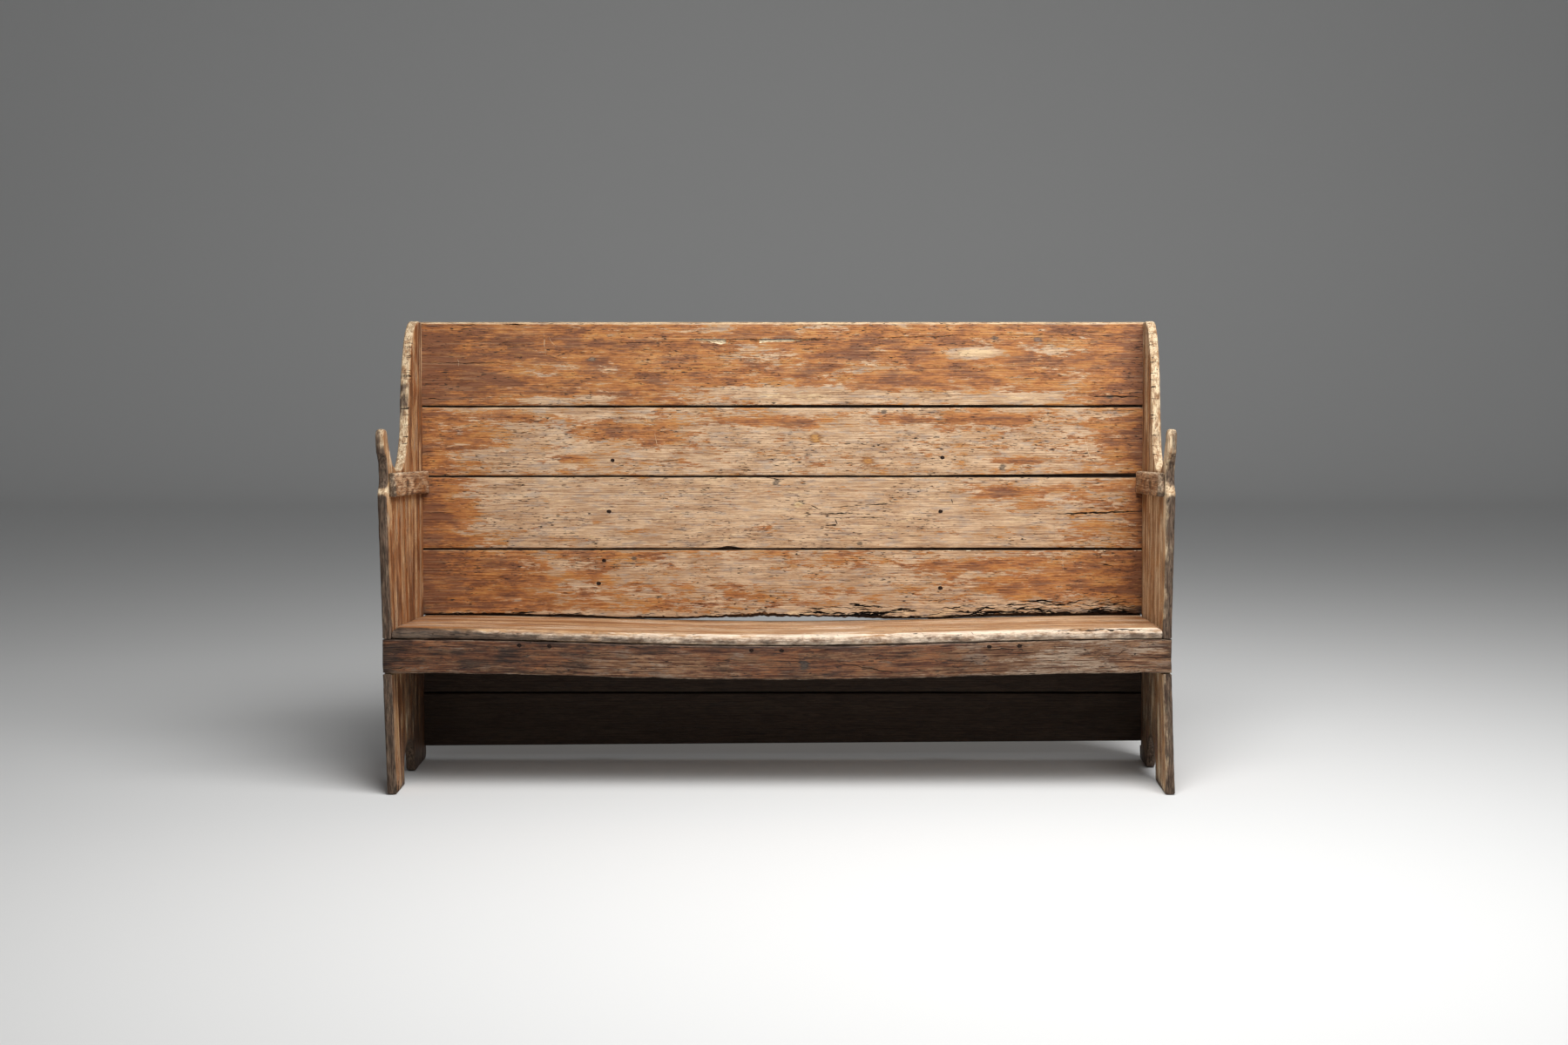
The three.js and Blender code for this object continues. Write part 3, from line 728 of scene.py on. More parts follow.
def rail_look(depth, height, through, gap):
    top = near(rail_high.z - height, 8)
    front = near(depth - rail_low.y, 9)
    blotch = uneven(depth / 45, height / 13, 2)
    return 0.5 + 0.9 * top + 0.2 * front + 0.9 * blotch, 0.3 - 0.6 * top + 0.5 * front - 0.8 * blotch


for index, side in enumerate(("left", "right")):
    outline = rectangle(rail_low, rail_high, 1, 2)
    nailed_face = inner_half - joint_gap
    faces = sorted((outward[side] * nailed_face, outward[side] * (nailed_face - rail_thickness)))

    def rail_round(depth, height, face):
        return rail_worn if height > rail_high.z - 30 and face == -outward[side] else 3.5

    plank = saw(outline, *faces, 2.5, (7, 6, 5))
    weather(plank, outline, *faces, rail_round, 2.2, rail_seed[side])
    put_up(
        f"{side}_arm_rail", plank, outline, "wuv", [rail_pine, inside_cracks],
        rail_look, bend=leaning(side), shift=3 + index,
    )

# Seat cleats
# A batten nailed to the inside of each end board carries the end of the seat. It is rough sawn and was
# never varnished, as nobody sees it.
frame_pine = old_pine(
    "frame_pine", ("7C5B40", "54402F", "8D6C4E"), ("A08061", "7E644B", "877767"), ("937859", "5A4736"),
    ("45382E", "221A15"), film=0.5,
)


def rough_look(along, across, through, gap):
    return 0.8, 0.35


def rough_sawn(name, outline, faces, lie, shift, seed, arris, cells, rounding=2, wear=0.8, bend=None):
    plank = saw(outline, *faces, arris, cells)
    weather(plank, outline, *faces, lambda along, across, face: rounding, wear, seed)
    put_up(name, plank, outline, lie, [frame_pine, inside_cracks], rough_look, (), bend, shift)


for index, name in enumerate(("left_seat_cleat", "right_seat_cleat")):
    low, high = squared_box(name)
    outline = rectangle(low, high, 1, 2)
    rough_sawn(name, outline, (low.x, high.x), "wuv", 5 + index, 31, 1.5, (12, 8, 8))

# Seat
# One plank of pine, rubbed bare and smooth. It sags in the middle, its front edge is worn to a round nose
# that has crumbled at the left, and a long sliver is splitting off at the right.
seat_sag = 17
seat_pine = old_pine(
    "seat_pine", ("A8703F", "7C4C2A", "BE8A58"), ("D6B086", "B88B5E", "AB967F"), ("F0DCC4", "B4957A"),
    ("6B5747", "2B211B"), film=0.85, combed=(0.4, 320, 14), spread=1.4,
)


def sag_at(x):
    """How far the seat and what hangs under it have sunk: most in the middle of the bench."""
    return seat_sag * (1 + math.cos(math.pi * min(abs(x) / inner_half, 1))) / 2


def settled(place):
    return place - Vector((0, 0, sag_at(place.x)))


def wander(place, size, depth, seed):
    """How far a worn edge strays inward from its sawn line."""
    slow = uneven(place / size, seed, 0)
    quick = uneven(place / (size / 7), seed, 4)
    return depth * (0.5 + 0.5 * slow + 0.2 * quick)


def lengthwise(first, last, step):
    """Places from first to last, about step apart."""
    count = round(abs(last - first) / step)
    return [first + (last - first) * i / count for i in range(count + 1)]


def seat_look(x, y, through, gap):
    ends = near(inner_half - abs(x), 120)
    nose = near(y, 20)
    back = near(back_depth - y, 30)
    left_corner = around(x, -inner_half, 200) * nose
    left_half = beyond(x, -480, -120)
    face = near(y, 5) * beyond(through, seat_top - 11, -2)
    under = through < seat_low.z + seat_sag + 3 and y > 6
    rubbed = around(y, 10, 9) * (0.75 + 0.8 * uneven(x / 120, 2, 7)) * (1 - left_half)
    bare = 0.66 + 0.3 * nose - 0.3 * ends - 0.35 * left_half + 0.9 * uneven(x / 300, y / 50, 4) + rubbed
    # Darker along the back, under the lowest back board: dirt and painted shade
    grime_and_shade = 0.1 * ends + 0.5 * back + 1.2 * left_corner + 0.6 * under + 1.1 * face + 0.42 * left_half * nose
    return bare, grime_and_shade


seat_under = apron_top + joint_gap
seat_half = seat_high.x
front_line = [(x, wander(x, 160, 3.0, 2.5)) for x in lengthwise(-seat_half, seat_half, 9)]
outline = front_line + [(seat_half, back_face), (-seat_half, back_face)]
plank = saw(outline, seat_under, seat_top, 3, (11, 9, 7))


def seat_round(x, y, face):
    if y > 60:
        return 3.5
    return 12.5 if face > 0 else 6


weather(plank, outline, seat_under, seat_top, seat_round, 2.6, 41)
# Under the lowest back board the seat's face is left flat
for vert in plank.verts:
    if vert.co.y > back_depth and vert.co.z > seat_top - 4:
        vert.co.z = seat_top
# Cracks in the seat's face: both ends, width, depth and how far they wander
seat_cracks = [
    (700, 9, 970, 5, 5.0, 19, 5), (735, 15, 850, 13, 2.2, 9, 4), (360, 26, 372, 2, 1.6, 7, 1),
    (368, 24, 415, 20, 1.2, 3, 2), (486, 14, 500, 1, 1.8, 8, 1), (150, 15, 158, 2, 1.4, 5, 1),
    (-930, 300, -610, 306, 1.2, 5, 3), (240, 180, 620, 176, 1.0, 4, 3), (640, 330, 930, 352, 1.8, 5, 3),
    (700, 210, 960, 216, 1.6, 5, 3),
]
tools = [
    crack(row[:2], row[2:4], row[4], -row[5], seat_top, number + 5, row[6])
    for number, row in enumerate(seat_cracks)
]
rng = random.Random(9)
# Small cracks run along the back of the seat, and its front has crumbled at the left
for number in range(26):
    x = rng.uniform(-420, 420)
    y = rng.uniform(372, 411)
    length = rng.uniform(12, 70)
    end = (x + length, y + rng.uniform(-3, 3))
    tools.append(crack((x - length, y), end, rng.uniform(2, 6), -rng.uniform(3, 6), seat_top, number, 5))
for number in range(16):
    x = -960 + 330 * rng.random() ** 1.7
    y = rng.uniform(1, 22)
    end = (x + 16, y + rng.uniform(-4, 4))
    tools.append(crack((x - 14, y), end, rng.uniform(2, 5), -rng.uniform(4, 9), seat_top, number + 50, 4))
put_up(
    "seat_plank", plank, outline, "uvw", [seat_pine, inside_cracks],
    seat_look, tools, settled, 7,
)

# Apron
# A narrow board under the front edge of the seat, let into the front edges of both end boards and nailed.
# It is dark and dry, its lower edge is rubbed to the bare wood, and it has cracked along the grain.
apron_shift = 8
apron_pine = old_pine(
    "apron_pine", ("74472A", "4A2D1D", "94613A"), ("957153", "78583F", "8C8074"), ("A5917C", "4C3B30"),
    ("4C392B", "24170F"), marks=2.6, combed=(0.1, 60, 3.2), spread=1.7, grainy=0.9,
    knots=[(in_log((68, 349), apron_shift), (15, 21), ("2C2622", "4A423A"))],
)


def apron_look(x, height, through, gap):
    ends = near(bench_half - abs(x), 55)
    lower = near(height - apron_bottom, 7)
    top = near(apron_top - height, 13)
    right = around(x, 760, 260)
    middle = around(x, -290, 230) * around(height, 350, 26)
    bare = 0.4 + 0.45 * lower + 0.8 * right + 0.4 * middle - 0.5 * top * (x < 600)
    grime_and_shade = 0.42 + 0.5 * ends - 0.6 * lower - 0.25 * middle - 0.4 * right - 0.3 * top
    # The last term paints a thin dark line along the top edge: painted shade in the joint under the seat
    grime_and_shade += 0.25 * around(x, -650, 260) + 1.1 * near(apron_top - height, 2)
    bare += 0.35 * uneven(x / 110, height / 13, 5)
    grime_and_shade += 0.6 * uneven(x / 90, height / 12, 9)
    return bare, grime_and_shade + (0.5 if through > 12 else 0)


rounder_below = 330


def apron_round(x, height, face):
    return 3.5 if height < rounder_below else 2.5


low_edge = [(x, apron_bottom + wander(x, 90, 2.4, 6.1)) for x in lengthwise(-bench_half, bench_half, 9)]
top_edge = [(x, apron_top - wander(x, 120, 1.6, 9.2)) for x in lengthwise(bench_half, -bench_half, 9)]
outline = low_edge + top_edge
plank = saw(outline, 0, apron_high.y, 2.5, (11, 8, 8))
weather(plank, outline, 0, apron_high.y, apron_round, 2.4, 51)
apron_cracks = [
    (-29, 360, 150, 355, 1.4, 5), (145, 355, 318, 321, 3.0, 9), (514, 379, 610, 377, 3.2, 7),
    (781, 351, 820, 357, 2.6, 6), (815, 357, 866, 359, 2.4, 6), (862, 359, 891, 373, 2.2, 6),
    (-560, 351, -470, 349, 1.6, 5), (-380, 391, -350, 389, 3.0, 5), (-330, 390, -180, 388, 1.3, 5),
    (-128, 323, -94, 319, 3.4, 6), (104, 386, 142, 388, 2.6, 5), (340, 333, 376, 329, 3.0, 6),
    (-980, 346, -860, 352, 2.2, 6), (-985, 372, -915, 370, 2.0, 6), (-990, 322, -930, 326, 2.4, 6),
    (905, 335, 985, 331, 2.6, 7), (930, 352, 992, 349, 2.4, 7), (-800, 322, -640, 320, 1.3, 4),
    (640, 345, 760, 349, 1.2, 4), (-545, 325, -505, 323, 2.6, 5), (-255, 369, -225, 370, 1.8, 4),
    (-140, 360, -118, 358, 3.4, 5), (20, 364, 66, 363, 1.8, 4), (78, 368, 92, 366, 4.0, 5),
    (-700, 344, -660, 342, 1.8, 4), (440, 352, 500, 355, 1.2, 4), (180, 388, 260, 386, 1.4, 4),
]
tools = cracks(apron_cracks, 0, 20, 4)
# The wood is crushed round each nail's head, over this radius and depth
nail_pit = (5.2, 3.6)
for index, name in enumerate(n for n in frame["nodes"] if n.startswith("seat_bearer") and "nail" in n):
    low, high = squared_box(name)
    head = low.lerp(high, 0.5)
    tools.append(pit((head.x, head.z + sag_at(head.x)), *nail_pit, 0, index + 60))
put_up(
    "front_apron", plank, outline, "uwv", [apron_pine, inside_cracks],
    apron_look, tools, settled, apron_shift,
)

# Seat bearers
# Three flat boards across the underside of the seat stiffen it. They are rough sawn, and each is nailed
# through the apron with two nails.
bearer_thickness = 25
for index, name in enumerate(("seat_bearer_left", "seat_bearer_middle", "seat_bearer_right")):
    low, high = squared_box(name)
    faces = (apron_top - bearer_thickness, apron_top)
    outline = rectangle(low, high, 1, 0)
    rough_sawn(name, outline, faces, "vuw", 9 + index, 61 + index, 1.5, (14, 12, 9), bend=settled)

# Back boards
# Four wide boards above the seat, lying in rebates cut along the back of the end boards and nailed. Their
# varnish is worn through in the middle. The top board has split, and the lowest has rotted along its edge.
board_shift = 12
# Knots, by their board, place, size and colours
back_knots = [
    (2, (232, 843), (24, 17), ("7A4A24", "B8803F")), (2, (90, 906), (22, 16), ("74481F", "C08E50")),
    (2, (275, 977), (10, 7), ("4A4038", "6E5E50")), (3, (209, 621), (11, 6), ("3E342C", "6B5A4A")),
    (3, (43, 727), (14, 9), ("D8BE90", "B08A5C")), (3, (-16, 786), (12, 9), ("4A423A", "8A7460")),
    (1, (576, 1177), (12, 8), ("453A32", "7A6250")), (1, (692, 1174), (16, 9), ("4A4038", "8A7060")),
    (4, (30, 560), (16, 8), ("9A6638", "C79A66")), (1, (-515, 1120), (12, 7), ("4E4238", "8A7460")),
]
back_pine = old_pine(
    "back_pine", ("B26E32", "7A4524", "C98F4C"), ("DABB98", "C4A17D", "A69C93"), ("E2C59C", "85644A"),
    ("54443A", "1C1512"), film=0.92, marks=1.2, grainy=0.42,
    knots=[(in_log(place, board_shift + board), size, tone) for board, place, size, tone in back_knots],
)
# Fresh pale wood shows in the split of the top board and in deep scratches
inside_split = torn_wood("torn_pine", (12, 1.8), 0.75, (0.4, 0.5), "8A6B4C", "F0DFC0", 0.9, (0.9, 0.0015))


def patchy(base, spots):
    """How bare a board is: its base, raised or lowered by soft oval patches at a place, of a size."""
    def amount(x, z):
        value = base
        for place, height, length, depth, change in spots:
            value += change * math.exp(-((x - place) / length) ** 2 - ((z - height) / depth) ** 2)
        return value
    return amount


worn_patches = {
    "back_board_1": patchy(0.2, [
        (-650, 1085, 150, 22, 0.3), (-620, 1008, 240, 12, 0.55), (-40, 1022, 190, 30, 0.7),
        (-60, 1128, 130, 26, 0.45), (300, 1020, 300, 22, 0.75), (250, 1100, 120, 22, 0.35),
        (640, 1012, 190, 18, 0.6), (520, 1137, 62, 13, 1.7), (780, 1150, 120, 20, 0.3),
        (190, 1150, 210, 34, -0.25), (340, 1075, 120, 22, -0.3), (0, 1205, 500, 12, 0.25),
        (-820, 1080, 200, 90, -0.3), (-800, 1170, 260, 30, -0.15), (760, 1070, 260, 40, 0.12),
    ]),
    "back_board_2": patchy(0.68, [
        (-790, 960, 150, 18, -0.42), (-400, 925, 130, 26, -0.75), (-300, 900, 60, 16, -0.5),
        (-100, 955, 130, 14, -0.55), (50, 950, 90, 20, -0.5), (330, 962, 60, 12, -0.6),
        (560, 958, 150, 16, -0.8), (640, 845, 70, 9, -0.5), (-560, 850, 60, 12, -0.4),
        (0, 900, 300, 20, 0.15), (-840, 905, 80, 30, -0.4), (900, 900, 90, 50, -0.35),
    ]),
    "back_board_3": patchy(0.86, [
        (590, 760, 110, 16, -0.75), (680, 728, 70, 14, -0.45), (-430, 655, 90, 9, -0.5),
        (-830, 625, 170, 14, -0.45), (-45, 660, 30, 14, -0.5), (420, 655, 90, 10, -0.35),
        (780, 760, 140, 20, -0.35), (860, 650, 130, 40, -0.3), (-640, 690, 100, 30, -0.1),
        (-930, 700, 110, 120, -0.6), (880, 720, 130, 60, -0.2),
    ]),
    "back_board_4": patchy(0.44, [
        (-200, 540, 260, 60, 0.25), (230, 520, 240, 50, 0.27), (-430, 590, 120, 10, -0.4),
        (500, 560, 160, 20, -0.25), (760, 500, 190, 40, -0.25), (-760, 480, 200, 30, -0.2),
        (-620, 560, 60, 18, 0.25), (-860, 540, 160, 80, -0.4), (500, 590, 200, 12, 0.25),
    ]),
}


def board_look(name):
    """The back is bare and dry, the top edge rubbed clean, and the faces inside the seams between the boards
    dark with dirt and painted shade.
    """
    patches = worn_patches[name]

    def look(x, z, through, gap):
        if through > back_face - 6:
            return 0.85, 0.3
        if name == "back_board_1" and z > end_height - 4:
            return 1.5, 0
        # Inside the seams the wood is painted dark: dirt and painted shade
        if through > back_depth + 2 and gap < 8:
            return 0.3, 1.5
        from_end = inner_half - abs(x)
        bare = patches(x, z) - 0.75 * near(from_end, 62)
        grime_and_shade = 0.04 + 0.3 * near(from_end, 22)
        if name == "back_board_4":
            rotten = around(z, seat_top, 8 + 30 * beyond(x, 40, 60))
            bare, grime_and_shade = bare + 0.6 * rotten, grime_and_shade + 0.3 * rotten
            grime_and_shade += 0.5 * near(from_end, 40) * near(z - seat_top, 40)
        return bare, grime_and_shade
    return look


# Cracks in each board: both ends, width and depth
board_cracks = {
    "back_board_1": [
        (-506, 1162, -246, 1169, 1.6, 7), (196, 1177, 560, 1186, 2.0, 8),
        (540, 1186, 977, 1184, 1.5, 7), (-980, 1110, -700, 1109, 2.0, 6),
        (829, 1021, 985, 1018, 6.0, 9), (-890, 1212, -818, 1212, 2.6, 6),
        (-757, 1213, -693, 1214, 4.4, 6), (-735, 1207, -690, 1208, 1.8, 5),
        (798, 1194, 860, 1195, 2.0, 5), (-900, 1062, -830, 1061, 1.6, 4),
        (640, 1026, 980, 1028, 1.4, 5), (-985, 1012, -900, 1012, 2.4, 6),
    ],
    "back_board_2": [
        (-985, 868, -905, 869, 1.4, 4), (865, 981, 985, 982, 2.0, 5), (150, 893, 260, 891, 1.2, 4),
        (-340, 846, -270, 845, 1.8, 4), (-38, 850, -22, 846, 4.0, 6), (-26, 836, -8, 832, 3.4, 6),
        (760, 872, 830, 870, 1.2, 4), (-40, 858, -24, 857, 2.6, 4), (860, 855, 985, 858, 1.8, 5),
        (-700, 956, -640, 954, 1.8, 4), (380, 845, 440, 846, 1.4, 4), (-480, 934, -420, 932, 1.6, 4),
    ],
    "back_board_3": [
        (-980, 704, -890, 703, 2.0, 6), (728, 700, 985, 708, 6.5, 9), (106, 719, 240, 724, 1.8, 6),
        (225, 726, 300, 727, 4.4, 7), (103, 700, 190, 702, 4.8, 8), (123, 690, 200, 691, 2.0, 6),
        (200, 690, 275, 691, 3.6, 6), (143, 688, 150, 672, 4.0, 6), (117, 669, 146, 670, 3.6, 6),
        (78, 724, 98, 714, 4.6, 5), (30, 735, 62, 733, 2.2, 4), (-44, 799, 8, 793, 3.6, 5),
        (330, 641, 380, 640, 2.4, 5), (459, 742, 461, 728, 3.0, 5), (20, 682, 45, 680, 2.2, 5),
        (-220, 800, -80, 801, 2.4, 5), (-860, 640, -760, 638, 1.6, 4), (640, 671, 720, 670, 1.4, 4),
    ],
    "back_board_4": [
        (640, 463, 745, 464, 5.0, 9), (690, 466, 726, 463, 7.5, 9), (702, 455, 729, 456, 3.4, 7),
        (735, 452, 780, 452, 2.6, 6), (180, 456, 212, 455, 6.0, 9), (868, 564, 898, 561, 4.4, 7),
        (-960, 536, -900, 536, 1.4, 4), (-985, 545, -870, 547, 1.5, 4), (300, 500, 350, 501, 1.6, 4),
        (-420, 512, -350, 511, 1.5, 4), (560, 492, 640, 494, 1.4, 4), (-120, 478, -60, 478, 1.6, 4),
        (140, 520, 210, 517, 1.5, 4), (-700, 470, -640, 469, 1.6, 4), (-260, 455, -200, 456, 2.0, 5),
    ],
}

# Pale scratches: both ends, width and board
scratches = [
    (815, 926, 838, 841, 2.2, 2), (838, 841, 855, 820, 1.8, 2), (-375, 975, -366, 945, 2.2, 2),
    (-366, 946, -350, 940, 2.4, 2), (-262, 955, -205, 940, 2.0, 2), (-345, 925, -338, 880, 1.6, 2),
    (-645, 1190, -640, 1130, 2.2, 1), (-632, 1182, -612, 1150, 1.8, 1),
    (-500, 1105, -470, 1098, 2.6, 1), (-880, 1120, -876, 1100, 1.8, 1), (120, 1070, 170, 1050, 1.4, 1),
    (760, 590, 764, 545, 1.8, 4), (-370, 560, -368, 540, 2.0, 4), (540, 725, 548, 690, 1.2, 3),
    (-590, 1110, -560, 1085, 1.4, 1),
]
scratch_depth = 0.7

# How far the lips of each edge have worn back in front: place, half length and depth, below and above
low_bites = {
    "back_board_1": [(150, 420, 2.4), (560, 150, 1.6), (-500, 40, 1.2), (930, 90, 3.0)],
    "back_board_2": [(960, 300, 8.5), (560, 120, 2.0), (-20, 30, 1.5)],
    "back_board_3": [(640, 260, 2.2), (-145, 24, 7.5)],
    "back_board_4": [
        (-70, 90, 7), (-330, 60, 4), (-760, 90, 3), (-560, 50, 3), (250, 60, 4), (640, 120, 5), (880, 60, 5),
    ],
}
top_bites = {
    "back_board_1": [(-640, 120, 2.6), (-240, 160, 1.4), (280, 90, 2.0), (820, 70, 1.8)],
    "back_board_2": [(160, 420, 1.6), (-520, 60, 1.0)],
    "back_board_3": [(860, 150, 1.2), (-300, 40, 1.0)],
    "back_board_4": [(620, 260, 1.4), (-150, 30, 1.6)],
}
# How high the rot has eaten into the lowest board, along its edge
rot_marks = [
    (-989, 0), (-730, 0.6), (-415, 0.8), (-290, 2.0), (-198, 7.8), (-99, 11), (0, 13), (99, 11.7), (198, 9.1),
    (290, 2.0), (435, 1.0), (593, 1.2), (731, 0.6), (989, 0),
]


def bites(place, marks):
    return sum(depth * around(place, middle, half) for middle, half, depth in marks)


def jag(x, size, seed):
    """A ragged line, by how far it strays at a place."""
    return size * (uneven(x / 14, seed, 0) + 0.6 * uneven(x / 5, seed, 3))


def rotted_edge(x):
    """The lowest board has sunk with the seat, and its edge is eaten away, most of all in the middle."""
    rot = np.interp(x, *zip(*rot_marks))
    return max(0, rot + jag(x, 0.3 * rot, 4.4)) - sag_at(x)


# How far the edges have swelled, between which shares of the board's thickness, and how far the lips reach
swelling = 0.28
swollen_from, swollen_to = 0.42, 0.85
lip = 5


def chew(plank, low_line, high_line, low_bite, top_bite, reach, shut=(0, 0)):
    """Wears the lips of a board's edges back in front. Further in, they have swelled shut."""
    for vert in plank.verts:
        x, z, depth = vert.co
        share = (depth - back_depth) / (back_face - back_depth)
        swollen = swollen_from < share < swollen_to
        if swollen and abs(z - low_line(x)) < lip:
            vert.co.y = low_line(x) - shut[0]
        elif swollen and abs(z - high_line) < lip:
            vert.co.y = high_line + shut[1]
        else:
            front = min(1, max(0, 1 - share / 0.6)) ** 0.6
            vert.co.y += front * low_bite(x) * near(max(0, z - low_line(x)), reach)
            vert.co.y -= front * top_bite(x) * near(max(0, high_line - z), reach)


def ragged_hole(edge_low, edge_high, first, last, depth, finish):
    """A hole or a step broken out between two ragged lines."""
    ring = [(x, edge_low(x)) for x in lengthwise(first, last, 4)]
    ring += [(x, edge_high(x)) for x in lengthwise(last, first, 4)]
    levels = (back_depth - 2, back_depth + depth)
    return bar([[(*place, level) for place in ring] for level in levels], finish)


face_nails = [name for name in frame["nodes"] if name.startswith("face_nail")]
nail_heads = [squared_box(name)[0].lerp(squared_box(name)[1], 0.5) for name in face_nails]
split_top = end_height - 47
split_gapes = [
    (-252, 0), (-200, 5), (-168, 13), (-150, 11), (-60, 10), (-40, 7), (20, 6), (70, 3), (140, 0),
]


def split_low(x):
    """The lower lip of the split, which gapes most near its left end."""
    return split_top - 0.6 - np.interp(x, *zip(*split_gapes)) + jag(x, 0.8, 2.2)


def split_high(x):
    return split_top + 1.2 + jag(x, 1.0, 7.7)


rng = random.Random(4)
for index in range(1, 5):
    name = f"back_board_{index}"
    topmost = index == 1
    lowest = index == 4
    low, high = squared_box(name)
    half = high.x
    bottom = seat_top + joint_gap if lowest else low.z

    def low_line(x):
        return bottom + (rotted_edge(x) if lowest else 0)

    def low_lip(x):
        worn = 1.0 + wander(x, 110, 1.4, index) + bites(x, low_bites[name])
        return worn + (2 + max(0, jag(x, 5, 6.6)) if lowest else 0)

    def top_lip(x):
        if topmost:
            return 0.3 * bites(x, top_bites[name])
        return 0.8 + wander(x, 130, 1.0, index + 5) + bites(x, top_bites[name])

    low_edge = [(x, low_line(x)) for x in lengthwise(-half, half, 6 if lowest else 11)]
    top_edge = [(x, high.z - wander(x, 130, 1.2, 9) * topmost) for x in lengthwise(half, -half, 11)]
    outline = low_edge + top_edge
    plank = saw(outline, back_depth, back_face, 1.8, (10, 8, 6))
    weather(plank, outline, back_depth, back_face, lambda u, v, face: 2.2, 1.0, 70 + index)
    shut = (0 if lowest else swelling, 0 if topmost else swelling)
    chew(plank, low_line, high.z, low_lip, top_lip, 9 if lowest else 6, shut)
    tools = cracks(board_cracks[name], back_depth, index * 31, 3)
    for number, (*ends, width, board) in enumerate(scratches):
        if board == index:
            tools.append(crack(ends[:2], ends[2:], width, scratch_depth, back_depth, number, 5, 2))
    for number, head in enumerate(nail_heads):
        if low.z < head.z < high.z:
            tools.append(pit((head.x, head.z), *nail_pit, back_depth, number + index))
    if topmost:
        tools.append(ragged_hole(split_low, split_high, -250, -152, 7, 2))
        tools.append(ragged_hole(split_low, split_high, -62, 34, 6, 2))
        tools.append(ragged_hole(lambda x: split_high(x) - 1.2, split_high, -150, 140, 12, 1))
        # The split is open right through only in two thin lines
        for first, last in ((-236, -158), (-54, 26)):
            edges = (lambda x: split_high(x) - 2.4, lambda x: split_high(x) - 0.4)
            tools.append(ragged_hole(*edges, first, last, 30, 1))
        for number in range(22):
            x = rng.uniform(-146, -70) if number % 2 else rng.uniform(40, 140)
            z = rng.uniform(split_low(x) + 1, split_top)
            reach = rng.uniform(5, 16)
            width = rng.uniform(1.5, 3.5)
            finish = 2 if number % 3 == 1 else 1
            end = (x + reach, z + rng.uniform(-2, 2))
            tools.append(crack((x - reach, z), end, width, 3, back_depth, number, 3, finish))
    # The lowest board has small bites along its top, and is cracked by rot along its lower edge
    if lowest:
        for number in range(14):
            place = (rng.uniform(380, 975), high.z - rng.uniform(1.5, 3))
            tools.append(pit(place, rng.uniform(1.4, 2.4), 1.5, back_depth, number, 2, rng.uniform(1.5, 4)))
        for number in range(130):
            x = rng.uniform(-930, 940) if number % 5 == 0 else rng.uniform(90, 955)
            swell = 0.5 + 0.5 * uneven(x / 90, 1.1, 0)
            tall = 6 if x < 60 else 16 + 34 * swell
            share = rng.random() ** 1.8
            z = low_line(x) + low_lip(x) + 1 + tall * share
            length = rng.uniform(10, 60) * (1 - 0.5 * share)
            slope = rng.uniform(-3, 3) if number % 6 else rng.choice((-11, 11))
            width = rng.uniform(2, 7) * (1.1 - 0.6 * share)
            depth = rng.uniform(5, 12)
            tools.append(crack((x - length, z), (x + length, z + slope), width, depth, back_depth, number, 5))
    put_up(
        name, plank, outline, "uwv", [back_pine, inside_cracks, inside_split],
        board_look(name), tools, shift=board_shift + index,
    )

# Lower back boards
# Two boards close the back below the seat. Their front is dark, partly dirt and partly painted shade under
# the seat. The lower edge of the last one runs up to the right.
# These colours are kept dark, and the darkest stand for dirt and also for painted shade under the seat
under_pine = old_pine(
    "under_pine", ("8A6342", "5E4029", "9C754F"), ("B59676", "94785C", "8E8173"), ("6E5642", "3A2C22"),
    ("30221A", "17100C"), film=0.85,
)
lowest_at_right = 81
for index, name in enumerate(("lower_back_board_1", "lower_back_board_2")):
    low, high = squared_box(name)
    right_low = low.z if index == 0 else lowest_at_right
    half = high.x

    def low_line(x):
        return np.interp(x, (-half, half), (low.z, right_low))

    def low_lip(x):
        return 1 + wander(x, 90, 1.5, 8)

    def top_lip(x):
        return 1 + wander(x, 90, 1.5, 9)

    outline = [(x, low_line(x)) for x in lengthwise(-half, half, 11)]
    outline += [(x, high.z) for x in lengthwise(half, -half, 11)]
    plank = saw(outline, back_depth, back_face, 1.8, (14, 10, 6))
    weather(plank, outline, back_depth, back_face, lambda u, v, face: 2.2, 1.0, 80 + index)
    # Only the seam between the two has swelled shut
    chew(plank, low_line, high.z, low_lip, top_lip, 6, (swelling * (index == 0), swelling * index))
    # Their front and edges get a strong dark value, dirt and painted shade under the seat; their back stays
    # light
    put_up(
        name, plank, outline, "uwv", [under_pine, inside_cracks],
        lambda x, z, through, gap: (0.85, 1.7 if through < back_face - 6 else 0.3), shift=18 + index,
    )

# Battens
# Two uprights across the back of the boards hold them flat. They are rough sawn and unfinished, and nailed
# both from the front, where seven heads show, and from behind.
for index, name in enumerate(("left_batten", "right_batten")):
    low, high = squared_box(name)
    outline = rectangle(low, high, 2, 0)
    rough_sawn(name, outline, (low.y, high.y), "vwu", 20 + index, 90 + index, 1.8, (12, 9, 8), 2.4, 1.4)

# Nails
# Wrought iron nails with a square tapering shank and a small uneven head, beaten by hand. They are rusted
# dark and driven home.


def rusted_iron():
    made = Finish("rusted_iron")
    place = made.lay("TexCoord", out="Object")
    crust = made.lay("TexNoise", {"Vector": place, "Scale": 900, "Detail": 5, "Roughness": 0.7})
    colour = made.mix(made.span(crust, 0.4, 0.68), paint("1C1614"), paint("4A2C1C"))
    made.surface.inputs["Metallic"].default_value = 0.55
    return made.coat(colour, made.span(crust, 0.3, 0.7, (0.45, 0.85)), crust, 0.5, 0.0006)


iron = rusted_iron()
head_sides = 8


